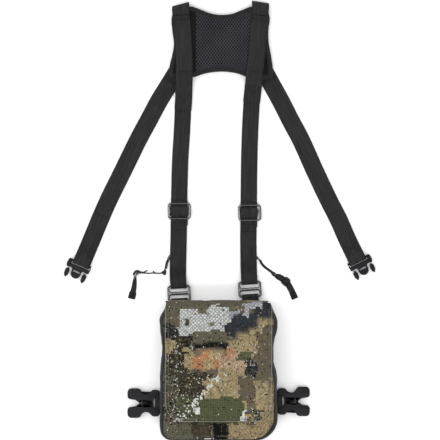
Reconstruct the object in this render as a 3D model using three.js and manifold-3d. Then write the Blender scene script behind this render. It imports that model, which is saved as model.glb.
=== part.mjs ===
// Binocular harness pack: a padded chest case with a fold-over lid, a four-strap webbing harness,
// a padded yoke and side-release buckles. Millimetres, +Z up. The set lies flat on its back panel,
// with the case's lid facing up, the harness stretched out along +Y and the yoke folded back under
// the shoulder straps. The origin is under the middle of the whole set, at the surface it lies on.
import * as THREE from 'three';
import { mergeVertices } from 'three/addons/utils/BufferGeometryUtils.js';
import Module from 'manifold-3d';

// ---------------------------------------------------------------- driving dimensions
const GAP = 0.3; // clearance between touching pieces
const FAR = 400; // beyond the whole set
const THROUGH = [-9, 9]; // levels beyond both faces of a buckle or frame drawn round level 0

// case
const CASE_X = -2; // middle of the case
const CASE_TOP = -122; // rear top edge of the back panel, along Y
const CASE_BOTTOM = -316.7;
const CASE_HALF_W = 84; // outside of the gusset
const WALL = 2.5; // gusset thickness
const CORNER_R = 15;
const REAR_R = 4; // rear corners of the panels
const MOUTH_R = 1; // rear corners of the gusset
const MOUTH_Y = CASE_TOP - 1; // open rear end of the gusset
const SEAM_Y = CASE_BOTTOM + CORNER_R + 1; // where the gusset's sides meet its bottom
const BACK_HALF_W = CASE_HALF_W - 1;
const BACK_T = 8; // padded back panel
const FRONT_HALF_W = 80;
const FRONT_LOW_Y = CASE_BOTTOM + 1.5;
const FRONT_Z = 58.3; // underside of the front panel
const FRONT_T = 5.6;
const LINING_T = 1.2;
const LINING_REAR_Y = MOUTH_Y - 2;
const POCKET_T = 1.2;
const POCKET_Y = [-308, -222];
const POCKET_Z = [12, 52];
const MAGNET_R = 9;
const MAGNET_T = 2.2;
const MAGNET_X = 42; // half spacing of the two closure magnets
const MAGNET_Y = -268;

// lid
const LID_HALF_W = 77;
const LID_Y = [-290, -123.3]; // front edge and fold edge of the flap
const LID_R = 27;
const LID_LEVELS = { lining: [64.2, 65.4], foam: [65.7, 68.5], outer: [68.8, 70.5] };
const LID_FOLD_R = 0.5; // corners of the flap at its fold
const THROUGH_LID = [60, 80]; // levels below and above the whole flap
const BINDING_W = 3;
const LID_TOP_Y = [-120.6, -117.6];
const LID_TOP_Z = [11, 62];
const LID_TOP_HALF_W = LID_HALF_W - 1;
const LID_SKIN = 2; // cloth of the bend between top panel and flap
const HINGE_HALF_W = LID_HALF_W - 4;

// webbing
const WEB_T = 1.4;
const FRONT_W = 24;
const SIDE_W = 26;
const UNDER_Z = 0.95; // middle of the layer that lies on the surface
const OVER_Z = UNDER_Z + WEB_T + GAP; // middle of the layer on top of it
const LAP_Z = OVER_Z + WEB_T + GAP;
const SHOULDER_W = FRONT_W + 1;
const FRONT_STEP = 9; // distance between the stations of a strap
const SIDE_STEP = 10;
const SHOULDER_STEP = 6;
const TETHER_STEP = 6;
const SETTLE_RUN = 16; // run over which webbing comes down from a bar

// every bar that webbing loops round
const BAR_W = 3.2;
const BAR_T = 2.8;
const LOOP_R = 3.15; // middle of the webbing round a bar
const LOOP_STEPS = 8;
const TAIL_STEPS = 3;
const BAR_Z = UNDER_Z + LOOP_R;

// three-bar connectors and tri-glide sliders
const FRAME_W = 34;
const FRAME_L = 24.5;
const FRAME_R = 5;
const FRAME_POST = 3.8;
const MID_BAR_W = 4.7;
const CONNECTOR_HOLE_R = 1.5;
const SLIDER_POST = 3.4;
const SLIDER_BAR = 2.6;
const SLIDER_HOLE_R = 2;
const SLIDER_T = 2.8;
const CONNECTOR_SLANT = Math.atan2(6, 103.2); // the line through both connectors
const CONNECTORS = { left: [-59.7, -107], right: [43.5, -101] };
const SLIDERS = { left: [-59.3, 13], right: [42.1, 10.5] };
const HUMP_Y = [-21, 15.5]; // ends of the climb over a slider's middle bar, from the slider's middle
const HUMP_STEPS = 24;
const HUMP_W = FRONT_W - 0.6;
const SEWN_END = 22; // from the slider's middle down to the end of the webbing under the strap

// strap routes in plan, from the connector to the fold over the yoke
const FRONT_ROUTE = {
  left: [[-61.4, -82], [-60.4, -25], [-59.6, 29], [-58, 88], [-55.4, 131], [-53.3, 175], [-52.6, 182]],
  right: [[42.1, -76], [41.4, -30], [42, 29], [42.7, 88], [44, 131], [46.4, 175], [48.2, 193]],
};
const SHOULDER_ROUTE = {
  left: [[-53.9, 160.5], [-52.8, 182], [-52.2, 210], [-52.4, 240], [-54.6, 275], [-57.5, 309.8]],
  right: [[46, 171.5], [48.4, 193], [50.4, 215], [53.3, 240], [56.2, 275], [59, 309.8]],
};

// yoke
const FOLD_Y = 311; // axis that the shoulder straps fold round
const FOLD_STEPS = 10;
const YOKE_LOW_Y = 203; // where the shoulder straps have climbed to the yoke's top
const YOKE_POINTS = 60;
const YOKE_LEVELS = { outer: [1.95, 3.4], foam: [3.7, 7.4], mesh: [7.7, 9.4] };
const YOKE_BAND = 6;
const OVER_YOKE_Z = YOKE_LEVELS.mesh[1] + GAP + WEB_T / 2;
const ANCHOR_END_Y = 262;

// side straps, from the yoke's tabs to the bars of the male buckles
const SIDE_ROUTE = {
  left: [[-78.6, 190.8], [-88.3, 175], [-103.8, 146], [-119.4, 117], [-140.9, 73], [-162.6, 29],
    [-175.4, 0], [-187, -28], [-202.03, -63.66]],
  right: [[78.3, 192.6], [87.9, 175], [102.6, 146], [118, 117], [137.8, 73], [158.6, 29],
    [173.3, 0], [185.7, -28], [200.35, -58.79]],
};
const SIDE_TAIL = 78; // webbing turned back behind each side strap
const SIDE_RISE = [24, 4]; // run, before the yoke, over which a side strap sinks under its tab
const SIDE_SINK = 0.4; // its last level, above the lowest layer
const SIDE_TAB_L = 33;
const SIDE_TAB_START = 0.8; // from the strap's end
const SIDE_TAB_STEPS = 4;

// side-release buckles
const MALE_L = 28;
const MALE_BASE_L = 13.6;
const MALE_HALF_W = 18;
const MALE_SHIFT = 2.2; // outwards on its strap, which is narrower than the slot
const PRONG_V = 13; // prong centre, off the buckle's middle line
const PRONG_NECK = 1.3; // half width of the springy arm
const PRONG_BARB = 3.5; // half width of its barb
const CATCH_L = 12.5; // from the barb's tip to its catch
const TONGUE_HALF_W = 7.3;
const TONGUE_TIP = 24;
const TONGUE_SLOT = { start: 0.9, length: 2.2, half: 5 }; // beyond the base's edge
const SIDE_SLOT_HALF = SIDE_W / 2 + MALE_SHIFT + 0.5;
const MALE_SLOT = 2.9;
const MALE_T = 5;
const PRONG_T = 3.4;
const FEMALE_L = 43;
const FEMALE_T = 7.4;
const FEMALE_SLOT = 7;
const SLOT_HALF = 12.4; // half length of the female buckle's webbing slot
const CASE_TAB_W = 21;
const TUNNEL = { v: [9.1, 16.9], height: 4.2, start: 17 };
const FEMALES = { left: [-91, -267], right: [87, -264.5] }; // middles of the bars

// tethers for the binocular
const CORD_D = 1.8;
const CORD_SIDES = 8;
const CORD_STEPS = 30;
const TETHER_W = 9;
const TETHER_Z = 1.1;
const TETHER_EDGE = { left: -73.6, right: 54.2 }; // just outside the front straps
const CORD_ROUTE = {
  left: [[-76.4, -57.6, 1.3], [-77.8, -60.6, 1.25], [-78.9, -64.2, 1.2], [-79.6, -68, 1.2],
    [-80.2, -71.6, 1.2], [-81.8, -75, 1.2], [-84.8, -77.2, 1.2], [-88.6, -77.9, 1.2],
    [-93, -77.5, 1.2], [-98, -77.3, 1.2], [-103.4, -77.9, 1.2], [-108.6, -77.6, 1.2],
    [-113.6, -76.3, 1.2], [-118.4, -75.6, 1.2], [-122.6, -78.6, 1.2]],
  right: [[57.4, -57.4, 1.3], [57.9, -59.2, 1.25], [58.6, -61.2, 1.2], [59.6, -63.2, 1.2],
    [60.9, -65.2, 1.2], [62.5, -67.1, 1.2], [64.2, -68.8, 1.2], [66.1, -70.4, 1.2],
    [68, -71.8, 1.2], [69.9, -73.1, 1.2], [71.7, -74.4, 1.2], [73.4, -75.7, 1.2],
    [75.1, -77, 1.2], [76.8, -78.3, 1.2], [78.4, -79.6, 1.2]],
};
const TAB_LEFT = [[-123.9, -81.6], [-125.4, -97], [-129.2, -115]];
const STRAP_RIGHT = [[80.6, -80.8], [88.4, -84.4], [97, -90.6], [103.8, -101.6], [109.6, -114.8]];

const SIDES = ['left', 'right'];
const sign = { left: -1, right: 1 };
const SMALL_CORNER = 3; // curve segments of a small corner

// ---------------------------------------------------------------- materials
const material = (colour, roughness, metalness = 0) =>
  new THREE.MeshStandardMaterial({ color: new THREE.Color(...colour), roughness, metalness });
const camo = () => material([0.30, 0.28, 0.19], 0.9);
const blackCloth = () => material([0.030, 0.030, 0.032], 0.92);
const liningCloth = () => material([0.045, 0.045, 0.047], 0.9);
const webbing = () => material([0.035, 0.035, 0.037], 0.88);
const airMesh = () => material([0.028, 0.027, 0.032], 0.95);
const foam = () => material([0.12, 0.12, 0.12], 0.95);
const plastic = () => material([0.040, 0.040, 0.047], 0.45);
const blackNickel = () => material([0.09, 0.09, 0.095], 0.22, 1);
const steel = () => material([0.55, 0.55, 0.56], 0.3, 1);
const cordage = () => material([0.03, 0.03, 0.032], 0.85);

// ---------------------------------------------------------------- solids
const wasm = await Module();
wasm.setup();

function toManifold(geometry) {
  const bare = new THREE.BufferGeometry();
  bare.setAttribute('position', geometry.getAttribute('position').clone());
  if (geometry.index) bare.setIndex(geometry.index.clone());
  const merged = mergeVertices(bare, 1e-4);
  const vertProperties = new Float32Array(merged.getAttribute('position').array);
  const triVerts = new Uint32Array(merged.index.array);
  return new wasm.Manifold(new wasm.Mesh({ numProp: 3, vertProperties, triVerts }));
}

function fromManifold(solid) {
  const mesh = solid.getMesh();
  const geometry = new THREE.BufferGeometry();
  geometry.setAttribute('position', new THREE.BufferAttribute(new Float32Array(mesh.vertProperties), 3));
  geometry.setIndex(new THREE.BufferAttribute(new Uint32Array(mesh.triVerts), 1));
  geometry.computeVertexNormals();
  return geometry;
}

const cut = (base, ...tools) =>
  fromManifold(tools.reduce((solid, tool) => solid.subtract(toManifold(tool)), toManifold(base)));
const join = (base, ...others) =>
  fromManifold(others.reduce((solid, other) => solid.add(toManifold(other)), toManifold(base)));
const common = (base, tool) => fromManifold(toManifold(base).intersect(toManifold(tool)));

// box from its lowest to its highest corner
function block([x0, y0, z0], [x1, y1, z1]) {
  return new THREE.BoxGeometry(x1 - x0, y1 - y0, z1 - z0)
    .translate((x0 + x1) / 2, (y0 + y1) / 2, (z0 + z1) / 2);
}

// plate with the given outline between two levels
function plate(shape, [z0, z1], curveSegments = 4) {
  const options = { depth: z1 - z0, bevelEnabled: false, curveSegments };
  return new THREE.ExtrudeGeometry(shape, options).translate(0, 0, z0);
}

// rectangle with its own radius at the -Y and at the +Y corners
function roundedRect([x0, y0], [x1, y1], lowR, highR = lowR) {
  const shape = new THREE.Shape();
  shape.moveTo(x0 + lowR, y0);
  shape.lineTo(x1 - lowR, y0);
  shape.absarc(x1 - lowR, y0 + lowR, lowR, -Math.PI / 2, 0, false);
  shape.lineTo(x1, y1 - highR);
  shape.absarc(x1 - highR, y1 - highR, highR, 0, Math.PI / 2, false);
  shape.lineTo(x0 + highR, y1);
  shape.absarc(x0 + highR, y1 - highR, highR, Math.PI / 2, Math.PI, false);
  shape.lineTo(x0, y0 + lowR);
  shape.absarc(x0 + lowR, y0 + lowR, lowR, Math.PI, 1.5 * Math.PI, false);
  return shape;
}

function disc(x, y, radius, [z0, z1], sides = 24) {
  return new THREE.CylinderGeometry(radius, radius, z1 - z0, sides)
    .rotateX(Math.PI / 2).translate(x, y, (z0 + z1) / 2);
}

// outline moved inwards by a distance, for closed smooth outlines that run anticlockwise
function insetShape(points, distance) {
  const count = points.length;
  return new THREE.Shape(points.map((point, i) => {
    const before = points[(i + count - 1) % count];
    const after = points[(i + 1) % count];
    const along = after.clone().sub(before).normalize();
    return new THREE.Vector2(point.x - along.y * distance, point.y + along.x * distance);
  }));
}

// ---------------------------------------------------------------- webbing
// Flat band through stations {p: middle of the band, side: unit vector across it}.
function band(stations, width, thickness) {
  const positions = [];
  const indices = [];
  stations.forEach(({ p, side }, i) => {
    const before = stations[Math.max(i - 1, 0)].p;
    const after = stations[Math.min(i + 1, stations.length - 1)].p;
    const along = after.clone().sub(before).normalize();
    const across = side.clone().addScaledVector(along, -side.dot(along)).normalize();
    const normal = across.clone().cross(along).normalize();
    for (const [a, b] of [[-1, -1], [1, -1], [1, 1], [-1, 1]]) {
      const corner = p.clone().addScaledVector(across, (a * width) / 2);
      corner.addScaledVector(normal, (b * thickness) / 2);
      positions.push(corner.x, corner.y, corner.z);
    }
  });
  const last = (stations.length - 1) * 4;
  for (let ring = 0; ring < last; ring += 4) {
    for (let k = 0; k < 4; k += 1) {
      const next = (k + 1) % 4;
      indices.push(ring + k, ring + 4 + k, ring + 4 + next, ring + k, ring + 4 + next, ring + next);
    }
  }
  indices.push(0, 1, 2, 0, 2, 3, last, last + 2, last + 1, last, last + 3, last + 2);
  const geometry = new THREE.BufferGeometry();
  geometry.setAttribute('position', new THREE.Float32BufferAttribute(positions, 3));
  geometry.setIndex(indices);
  geometry.computeVertexNormals();
  return geometry;
}

const vec = (x, y, z) => new THREE.Vector3(x, y, z);
const plan = (x, y) => new THREE.Vector2(x, y);

// smooth height: low before the start, high after the end
function ramp(value, start, end, low, high) {
  const t = THREE.MathUtils.smoothstep(value, start, end);
  return THREE.MathUtils.lerp(low, high, t);
}

// stations along a plan route; level(distance from the start, y) gives the height of the middle
function routeStations(route, step, level) {
  const curve = new THREE.CatmullRomCurve3(route.map(([x, y]) => vec(x, y, 0)), false, 'centripetal');
  const length = curve.getLength();
  const count = Math.max(2, Math.round(length / step));
  const stations = [];
  for (let i = 0; i <= count; i += 1) {
    const p = curve.getPointAt(i / count);
    const along = curve.getTangentAt(i / count);
    const side = vec(-along.y, along.x, 0).normalize();
    stations.push({ p: vec(p.x, p.y, level((length * i) / count, p.y)), side });
  }
  return stations;
}

// Webbing turned round a bar. The bar's middle is at centre, heading is the plan direction in which
// the webbing leaves it. Stations run from the under layer round the bar to the top of it.
function turnStations(centre, heading, tail) {
  const side = vec(-heading.y, heading.x, 0);
  const at = (along, height) => vec(centre.x + heading.x * along, centre.y + heading.y * along, height);
  const stations = [];
  for (let i = TAIL_STEPS; i >= 0; i -= 1) {
    stations.push({ p: at((tail * i) / TAIL_STEPS, UNDER_Z), side });
  }
  for (let i = 1; i <= LOOP_STEPS; i += 1) {
    const angle = (Math.PI * i) / LOOP_STEPS;
    stations.push({ p: at(-LOOP_R * Math.sin(angle), BAR_Z - LOOP_R * Math.cos(angle)), side });
  }
  return stations;
}

// strap that turns round a bar, comes down on its own tail and then follows its route
function loopedStrap(centre, heading, route, width, step, tail, level) {
  const nearRun = 3; // straight webbing between the bar and the first point of the route
  const turn = turnStations(centre, heading, 2 * nearRun).slice(TAIL_STEPS - 1);
  const start = centre.clone().addScaledVector(heading, nearRun);
  const whole = [[start.x, start.y], ...route];
  const upper = routeStations(whole, step, (distance, y) =>
    ramp(distance, 0, SETTLE_RUN, BAR_Z + LOOP_R, level(y)));
  const under = routeStations(whole, step, () => UNDER_Z)
    .filter((station) => station.p.distanceTo(vec(start.x, start.y, UNDER_Z)) < tail)
    .slice(1)
    .reverse();
  return band([...under, ...turn, ...upper], width, WEB_T);
}

// ---------------------------------------------------------------- assembly helpers
const harnessPack = new THREE.Group();

function add(name, geometry, surface) {
  const mesh = new THREE.Mesh(geometry, surface);
  mesh.name = name;
  harnessPack.add(mesh);
}

const caseX = (offset) => CASE_X + offset;

// block between two corners given in any order
function blockBetween(a, b) {
  return block(a.map((value, i) => Math.min(value, b[i])), a.map((value, i) => Math.max(value, b[i])));
}

// ---------------------------------------------------------------- case
function buildCase() {
  const inner = CASE_HALF_W - WALL;
  const outline = (half, low, high, radius, rearR) =>
    roundedRect([caseX(-half), low], [caseX(half), high], radius, rearR);
  add('back_panel', plate(outline(BACK_HALF_W, CASE_BOTTOM, CASE_TOP, CORNER_R, REAR_R), [0, BACK_T]),
    blackCloth());

  const gussetZ = [BACK_T + GAP, FRONT_Z - GAP];
  const ring = cut(
    plate(outline(CASE_HALF_W, CASE_BOTTOM, MOUTH_Y, CORNER_R, MOUTH_R), gussetZ),
    plate(outline(inner, CASE_BOTTOM + WALL, 0, CORNER_R - WALL, MOUTH_R), [0, FAR]),
  );
  const part = (low, high) => common(ring, block([...low, 0], [...high, FAR]));
  add('gusset_left', part([-FAR, SEAM_Y + GAP], [CASE_X, 0]), blackCloth());
  add('gusset_right', part([CASE_X, SEAM_Y + GAP], [FAR, 0]), blackCloth());
  add('gusset_bottom', part([-FAR, -FAR], [FAR, SEAM_Y]), blackCloth());

  for (const side of SIDES) {
    const from = caseX(sign[side] * (CASE_HALF_W + GAP));
    const to = from + sign[side] * POCKET_T;
    add(`side_pocket_${side}`,
      blockBetween([from, POCKET_Y[0], POCKET_Z[0]], [to, POCKET_Y[1], POCKET_Z[1]]),
      liningCloth());
  }

  const magnet = (side, radius, levels) => disc(caseX(sign[side] * MAGNET_X), MAGNET_Y, radius, levels);
  const recesses = SIDES.map((side) =>
    magnet(side, MAGNET_R + GAP, [FRONT_Z - 1, FRONT_Z + MAGNET_T + GAP]));
  const front = outline(FRONT_HALF_W, FRONT_LOW_Y, MOUTH_Y, CORNER_R, REAR_R);
  add('front_panel', cut(plate(front, [FRONT_Z, FRONT_Z + FRONT_T]), ...recesses), camo());
  for (const side of SIDES) {
    add(`closure_plate_${side}`, magnet(side, MAGNET_R, [FRONT_Z, FRONT_Z + MAGNET_T]), steel());
  }
  const lining = outline(inner - GAP, CASE_BOTTOM + WALL + GAP, LINING_REAR_Y, CORNER_R - WALL, REAR_R);
  add('front_lining', plate(lining, [FRONT_Z - GAP - LINING_T, FRONT_Z - GAP]), liningCloth());
}

// ---------------------------------------------------------------- lid
// quarter bend that joins the top panel to the flap
function lidFold() {
  const bendX = LID_Y[1] + GAP;
  const bendZ = LID_TOP_Z[1] + GAP;
  const outerZ = LID_LEVELS.outer[1];
  const reach = LID_TOP_Y[1] - bendX;
  const bend = new THREE.Shape();
  bend.moveTo(bendX, outerZ);
  bend.lineTo(bendX, outerZ - LID_SKIN);
  bend.absellipse(bendX, bendZ, reach - LID_SKIN, outerZ - LID_SKIN - bendZ, Math.PI / 2, 0, true);
  bend.lineTo(LID_TOP_Y[1], bendZ);
  bend.absellipse(bendX, bendZ, reach, outerZ - bendZ, 0, Math.PI / 2, false);
  const options = { depth: 2 * LID_TOP_HALF_W, bevelEnabled: false, curveSegments: 5 };
  const axes = new THREE.Matrix4().makeBasis(vec(0, 1, 0), vec(0, 0, 1), vec(1, 0, 0));
  return new THREE.ExtrudeGeometry(bend, options).applyMatrix4(axes)
    .translate(caseX(-LID_TOP_HALF_W), 0, 0);
}

function buildLid() {
  const [topLowY, topHighY] = LID_TOP_Y;
  const [topLowZ, topHighZ] = LID_TOP_Z;
  const { lining, foam: padding, outer } = LID_LEVELS;
  add('lid_hinge_tape',
    block([caseX(-HINGE_HALF_W), topLowY, BACK_T + GAP], [caseX(HINGE_HALF_W), topHighY, topLowZ - GAP]),
    blackCloth());
  add('lid_top_panel',
    block([caseX(-LID_TOP_HALF_W), topLowY, topLowZ], [caseX(LID_TOP_HALF_W), topHighY, topHighZ]),
    camo());
  add('lid_front_fold', lidFold(), camo());

  const [frontY, foldY] = LID_Y;
  const edge = (inset) => roundedRect([caseX(-LID_HALF_W + inset), frontY + inset],
    [caseX(LID_HALF_W - inset), foldY], LID_R - inset, LID_FOLD_R);
  const magnet = (side, radius, levels) => disc(caseX(sign[side] * MAGNET_X), MAGNET_Y, radius, levels);
  const inside = edge(BINDING_W + GAP);
  const holes = SIDES.map((side) => magnet(side, MAGNET_R + GAP, THROUGH_LID));
  add('lid_flap_lining', plate(inside, lining), liningCloth());
  add('lid_flap_foam', cut(plate(inside, padding), ...holes), foam());
  add('lid_flap_outer', plate(inside, outer), camo());
  for (const side of SIDES) {
    add(`lid_magnet_${side}`, magnet(side, MAGNET_R, [padding[0], padding[0] + MAGNET_T]), steel());
  }
  const hollow = roundedRect([caseX(-LID_HALF_W + BINDING_W), frontY + BINDING_W],
    [caseX(LID_HALF_W - BINDING_W), foldY + LID_R], LID_R - BINDING_W, LID_FOLD_R);
  add('lid_binding', cut(plate(edge(0), [lining[0], outer[1]]), plate(hollow, THROUGH_LID)), webbing());
}

// ---------------------------------------------------------------- harness hardware
// frame drawn round the origin, with two openings between its outer bars and its middle bar
function threeBarFrame(thickness, post, outerBar, holeR) {
  const halfW = FRAME_W / 2;
  const halfL = FRAME_L / 2;
  const openHalf = halfW - post;
  const reach = halfL - outerBar;
  const outline = roundedRect([-halfW, -halfL], [halfW, halfL], FRAME_R);
  const hole = (low, high) =>
    plate(roundedRect([-openHalf, low], [openHalf, high], holeR), THROUGH, SMALL_CORNER);
  return cut(plate(outline, [-thickness / 2, thickness / 2]),
    hole(-reach, -MID_BAR_W / 2), hole(MID_BAR_W / 2, reach));
}

// webbing turns round both outer bars of a connector
const connectorFrame = () => threeBarFrame(BAR_T, FRAME_POST, BAR_W, CONNECTOR_HOLE_R);

// the strap climbs over the middle bar of a slider
const sliderFrame = () => threeBarFrame(SLIDER_T, SLIDER_POST, SLIDER_BAR, SLIDER_HOLE_R);

const SLIDER_Z = OVER_Z + WEB_T + 2 * GAP + WEB_T / 2 + SLIDER_T / 2; // above strap and sewn end

// the stretch of strap that climbs over the slider's middle bar, with its sewn end below it
function sliderHump() {
  const low = OVER_Z + WEB_T + GAP;
  const high = SLIDER_Z + SLIDER_T / 2 + GAP + WEB_T / 2;
  const flat = MID_BAR_W / 2 + 0.2;
  const foot = FRAME_L / 2 - SLIDER_BAR - 0.9;
  const side = vec(1, 0, 0);
  const stations = [];
  for (let i = 0; i <= HUMP_STEPS; i += 1) {
    const y = THREE.MathUtils.lerp(...HUMP_Y, i / HUMP_STEPS);
    const climb = 1 - THREE.MathUtils.smoothstep(Math.abs(y), flat, foot);
    stations.push({ p: vec(0, y, THREE.MathUtils.lerp(low, high, climb)), side });
  }
  return band(stations, HUMP_W, WEB_T);
}

function buildHardware() {
  for (const side of SIDES) {
    const [x, y] = CONNECTORS[side];
    add(`connector_frame_${side}`, connectorFrame().rotateZ(CONNECTOR_SLANT).translate(x, y, BAR_Z),
      blackNickel());
    const [sx, sy] = SLIDERS[side];
    add(`slider_${side}`, sliderFrame().translate(sx, sy, SLIDER_Z), blackNickel());
    add(`slider_hump_${side}`, sliderHump().translate(sx, sy, 0), webbing());
  }
}

// point on a connector, from its middle, along its slanted axes
function onConnector(side, along) {
  const [x, y] = CONNECTORS[side];
  return plan(x - Math.sin(CONNECTOR_SLANT) * along, y + Math.cos(CONNECTOR_SLANT) * along);
}
const BAR_OFFSET = FRAME_L / 2 - BAR_W / 2;
const UP_STRAP = plan(-Math.sin(CONNECTOR_SLANT), Math.cos(CONNECTOR_SLANT));

// closed tab of webbing round a bar, sewn to the case at its open end
function tab(centre, heading, reach, width) {
  const side = vec(-heading.y, heading.x, 0);
  const at = (along, height) => vec(centre.x + heading.x * along, centre.y + heading.y * along, height);
  const turn = turnStations(centre, heading, reach);
  return band([...turn, { p: at(reach / 2, BAR_Z + LOOP_R), side }, { p: at(reach, BAR_Z + LOOP_R), side }],
    width, WEB_T);
}

function buildTabs() {
  for (const side of SIDES) {
    const bar = onConnector(side, -BAR_OFFSET);
    const slanted = Math.sin(CONNECTOR_SLANT) * (FRONT_W / 2);
    add(`case_tab_${side}`,
      tab(bar, UP_STRAP.clone().negate(), bar.y - CASE_TOP - GAP - slanted, FRONT_W), webbing());
    const [x, y] = FEMALES[side];
    const reach = Math.abs(x - caseX(sign[side] * (CASE_HALF_W - 1))) - GAP;
    add(`buckle_tab_${side}`, tab(plan(x, y), plan(-sign[side], 0), reach, CASE_TAB_W), webbing());
  }
}

// ---------------------------------------------------------------- front and shoulder straps
function buildStraps() {
  for (const side of SIDES) {
    const bar = onConnector(side, BAR_OFFSET);
    const route = FRONT_ROUTE[side];
    const tail = SLIDERS[side][1] - bar.y - SEWN_END;
    add(`front_strap_${side}`,
      loopedStrap(bar, UP_STRAP, route, FRONT_W, FRONT_STEP, tail, () => OVER_Z), webbing());

    const shoulder = SHOULDER_ROUTE[side];
    const start = route[route.length - 1][1];
    const climb = (distance, y) => ramp(y, start + 1, YOKE_LOW_Y, LAP_Z, OVER_YOKE_Z);
    add(`shoulder_strap_${side}`,
      band(routeStations(shoulder, SHOULDER_STEP, climb), SHOULDER_W, WEB_T), webbing());

    // half turn of the strap round the yoke's top edge, then its sewn end under the yoke
    const [x] = shoulder[shoulder.length - 1];
    const axisZ = (OVER_YOKE_Z + UNDER_Z) / 2;
    const radius = (OVER_YOKE_Z - UNDER_Z) / 2;
    const across = vec(1, 0, 0);
    const bend = [];
    for (let i = 0; i <= FOLD_STEPS; i += 1) {
      const angle = Math.PI / 2 - (Math.PI * i) / FOLD_STEPS;
      const y = FOLD_Y + GAP + radius * Math.cos(angle);
      bend.push({ p: vec(x, y, axisZ + radius * Math.sin(angle)), side: across });
    }
    add(`shoulder_fold_${side}`, band(bend, SHOULDER_W, WEB_T), webbing());
    const anchor = [FOLD_Y, (FOLD_Y + ANCHOR_END_Y) / 2, ANCHOR_END_Y]
      .map((y) => ({ p: vec(x, y, UNDER_Z), side: across }));
    add(`strap_anchor_${side}`, band(anchor, SHOULDER_W, WEB_T), webbing());
  }
}

// ---------------------------------------------------------------- yoke
// top edge dips between the straps, sides are waisted, the bottom edge rises in the middle
function yokeOutline() {
  const corners = [
    [-64, 207], [-38, 208.6], [-20, 214], [3, 216.4], [24, 214], [40, 208.6], [67, 205.5], [75, 209],
    [76.8, 219], [74.6, 238], [71, 258], [70.4, 276], [72.4, 295], [69, 304.5], [60, 308.6], [46, 310.8],
    [32, 306], [18, 300.6], [3.6, 298.8], [-12, 300.6], [-28, 306.5], [-43, 311.4], [-57, 308.6],
    [-66.6, 304], [-70.4, 294], [-69.4, 276], [-67, 256], [-69.6, 240], [-73.6, 222], [-72.4, 210.4],
  ];
  const curve = new THREE.CatmullRomCurve3(corners.map(([x, y]) => vec(x, y, 0)), true, 'centripetal');
  return curve.getPoints(YOKE_POINTS).slice(0, -1).map((p) => plan(p.x, p.y));
}

function buildYoke() {
  const outline = yokeOutline();
  const levels = YOKE_LEVELS;
  add('yoke_outer_panel', plate(new THREE.Shape(outline), levels.outer), blackCloth());
  add('yoke_foam', plate(insetShape(outline, YOKE_BAND + GAP), levels.foam), foam());
  add('yoke_mesh', plate(insetShape(outline, YOKE_BAND + GAP), levels.mesh), airMesh());
  const rim = plate(new THREE.Shape(outline), [levels.foam[0], levels.mesh[1]]);
  add('yoke_binding', cut(rim, plate(insetShape(outline, YOKE_BAND), [0, FAR])), webbing());
}

// ---------------------------------------------------------------- side straps and male buckles
const headingOf = ([x0, y0], [x1, y1]) => plan(x1 - x0, y1 - y0).normalize();

function sideFrame(side) {
  const route = SIDE_ROUTE[side];
  const bar = route[route.length - 1];
  return { route, bar: plan(...bar), out: headingOf(route[route.length - 2], bar) };
}

function buildSideStraps() {
  for (const side of SIDES) {
    const { route, bar, out } = sideFrame(side);
    const back = route.slice(0, -1).reverse();
    const [x, y] = route[0];
    const level = (at) => ramp(at, y - SIDE_RISE[0], y - SIDE_RISE[1], OVER_Z, UNDER_Z + SIDE_SINK);
    add(`side_strap_${side}`,
      loopedStrap(bar, out.clone().negate(), back, SIDE_W, SIDE_STEP, SIDE_TAIL, level), webbing());

    const heading = headingOf(route[1], route[0]);
    const across = vec(-heading.y, heading.x, 0);
    const stations = [];
    for (let i = 0; i <= SIDE_TAB_STEPS; i += 1) {
      const p = plan(x, y).addScaledVector(heading, SIDE_TAB_START + (SIDE_TAB_L * i) / SIDE_TAB_STEPS);
      stations.push({ p: vec(p.x, p.y, i === 0 ? UNDER_Z + SIDE_SINK / 2 : UNDER_Z), side: across });
    }
    add(`side_tab_${side}`, band(stations, SIDE_W, WEB_T), webbing());
  }
}

// Local buckle axes: u along the buckle from the middle of its bar, v across it.
// Both are drawn as shapes with u along +X.
function maleBase() {
  const half = MALE_T / 2;
  const end = MALE_BASE_L - BAR_W / 2;
  const body = plate(roundedRect([-BAR_W / 2, -MALE_HALF_W], [end, MALE_HALF_W], 3.5), [-half, half]);
  const tongue = new THREE.Shape();
  const root = end - 1;
  const tip = TONGUE_TIP - TONGUE_HALF_W;
  tongue.moveTo(root, -TONGUE_HALF_W);
  tongue.lineTo(tip, -TONGUE_HALF_W);
  tongue.absarc(tip, 0, TONGUE_HALF_W, -Math.PI / 2, Math.PI / 2, false);
  tongue.lineTo(root, TONGUE_HALF_W);
  const { start, length, half: reach } = TONGUE_SLOT;
  const window = plate(roundedRect([end + start, -reach], [end + start + length, reach], 1),
    THROUGH, SMALL_CORNER);
  const [below, above] = THROUGH;
  const slot = block([BAR_W / 2, -SIDE_SLOT_HALF, below], [BAR_W / 2 + MALE_SLOT, SIDE_SLOT_HALF, above]);
  const thin = (low, high) =>
    block([below, -SIDE_SLOT_HALF, low], [BAR_W / 2 + 0.1, SIDE_SLOT_HALF, high]);
  const tongueSolid = plate(tongue, [-PRONG_T / 2, PRONG_T / 2], 8);
  return cut(join(body, tongueSolid), window, slot, thin(BAR_T / 2, above), thin(below, -BAR_T / 2));
}

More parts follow.
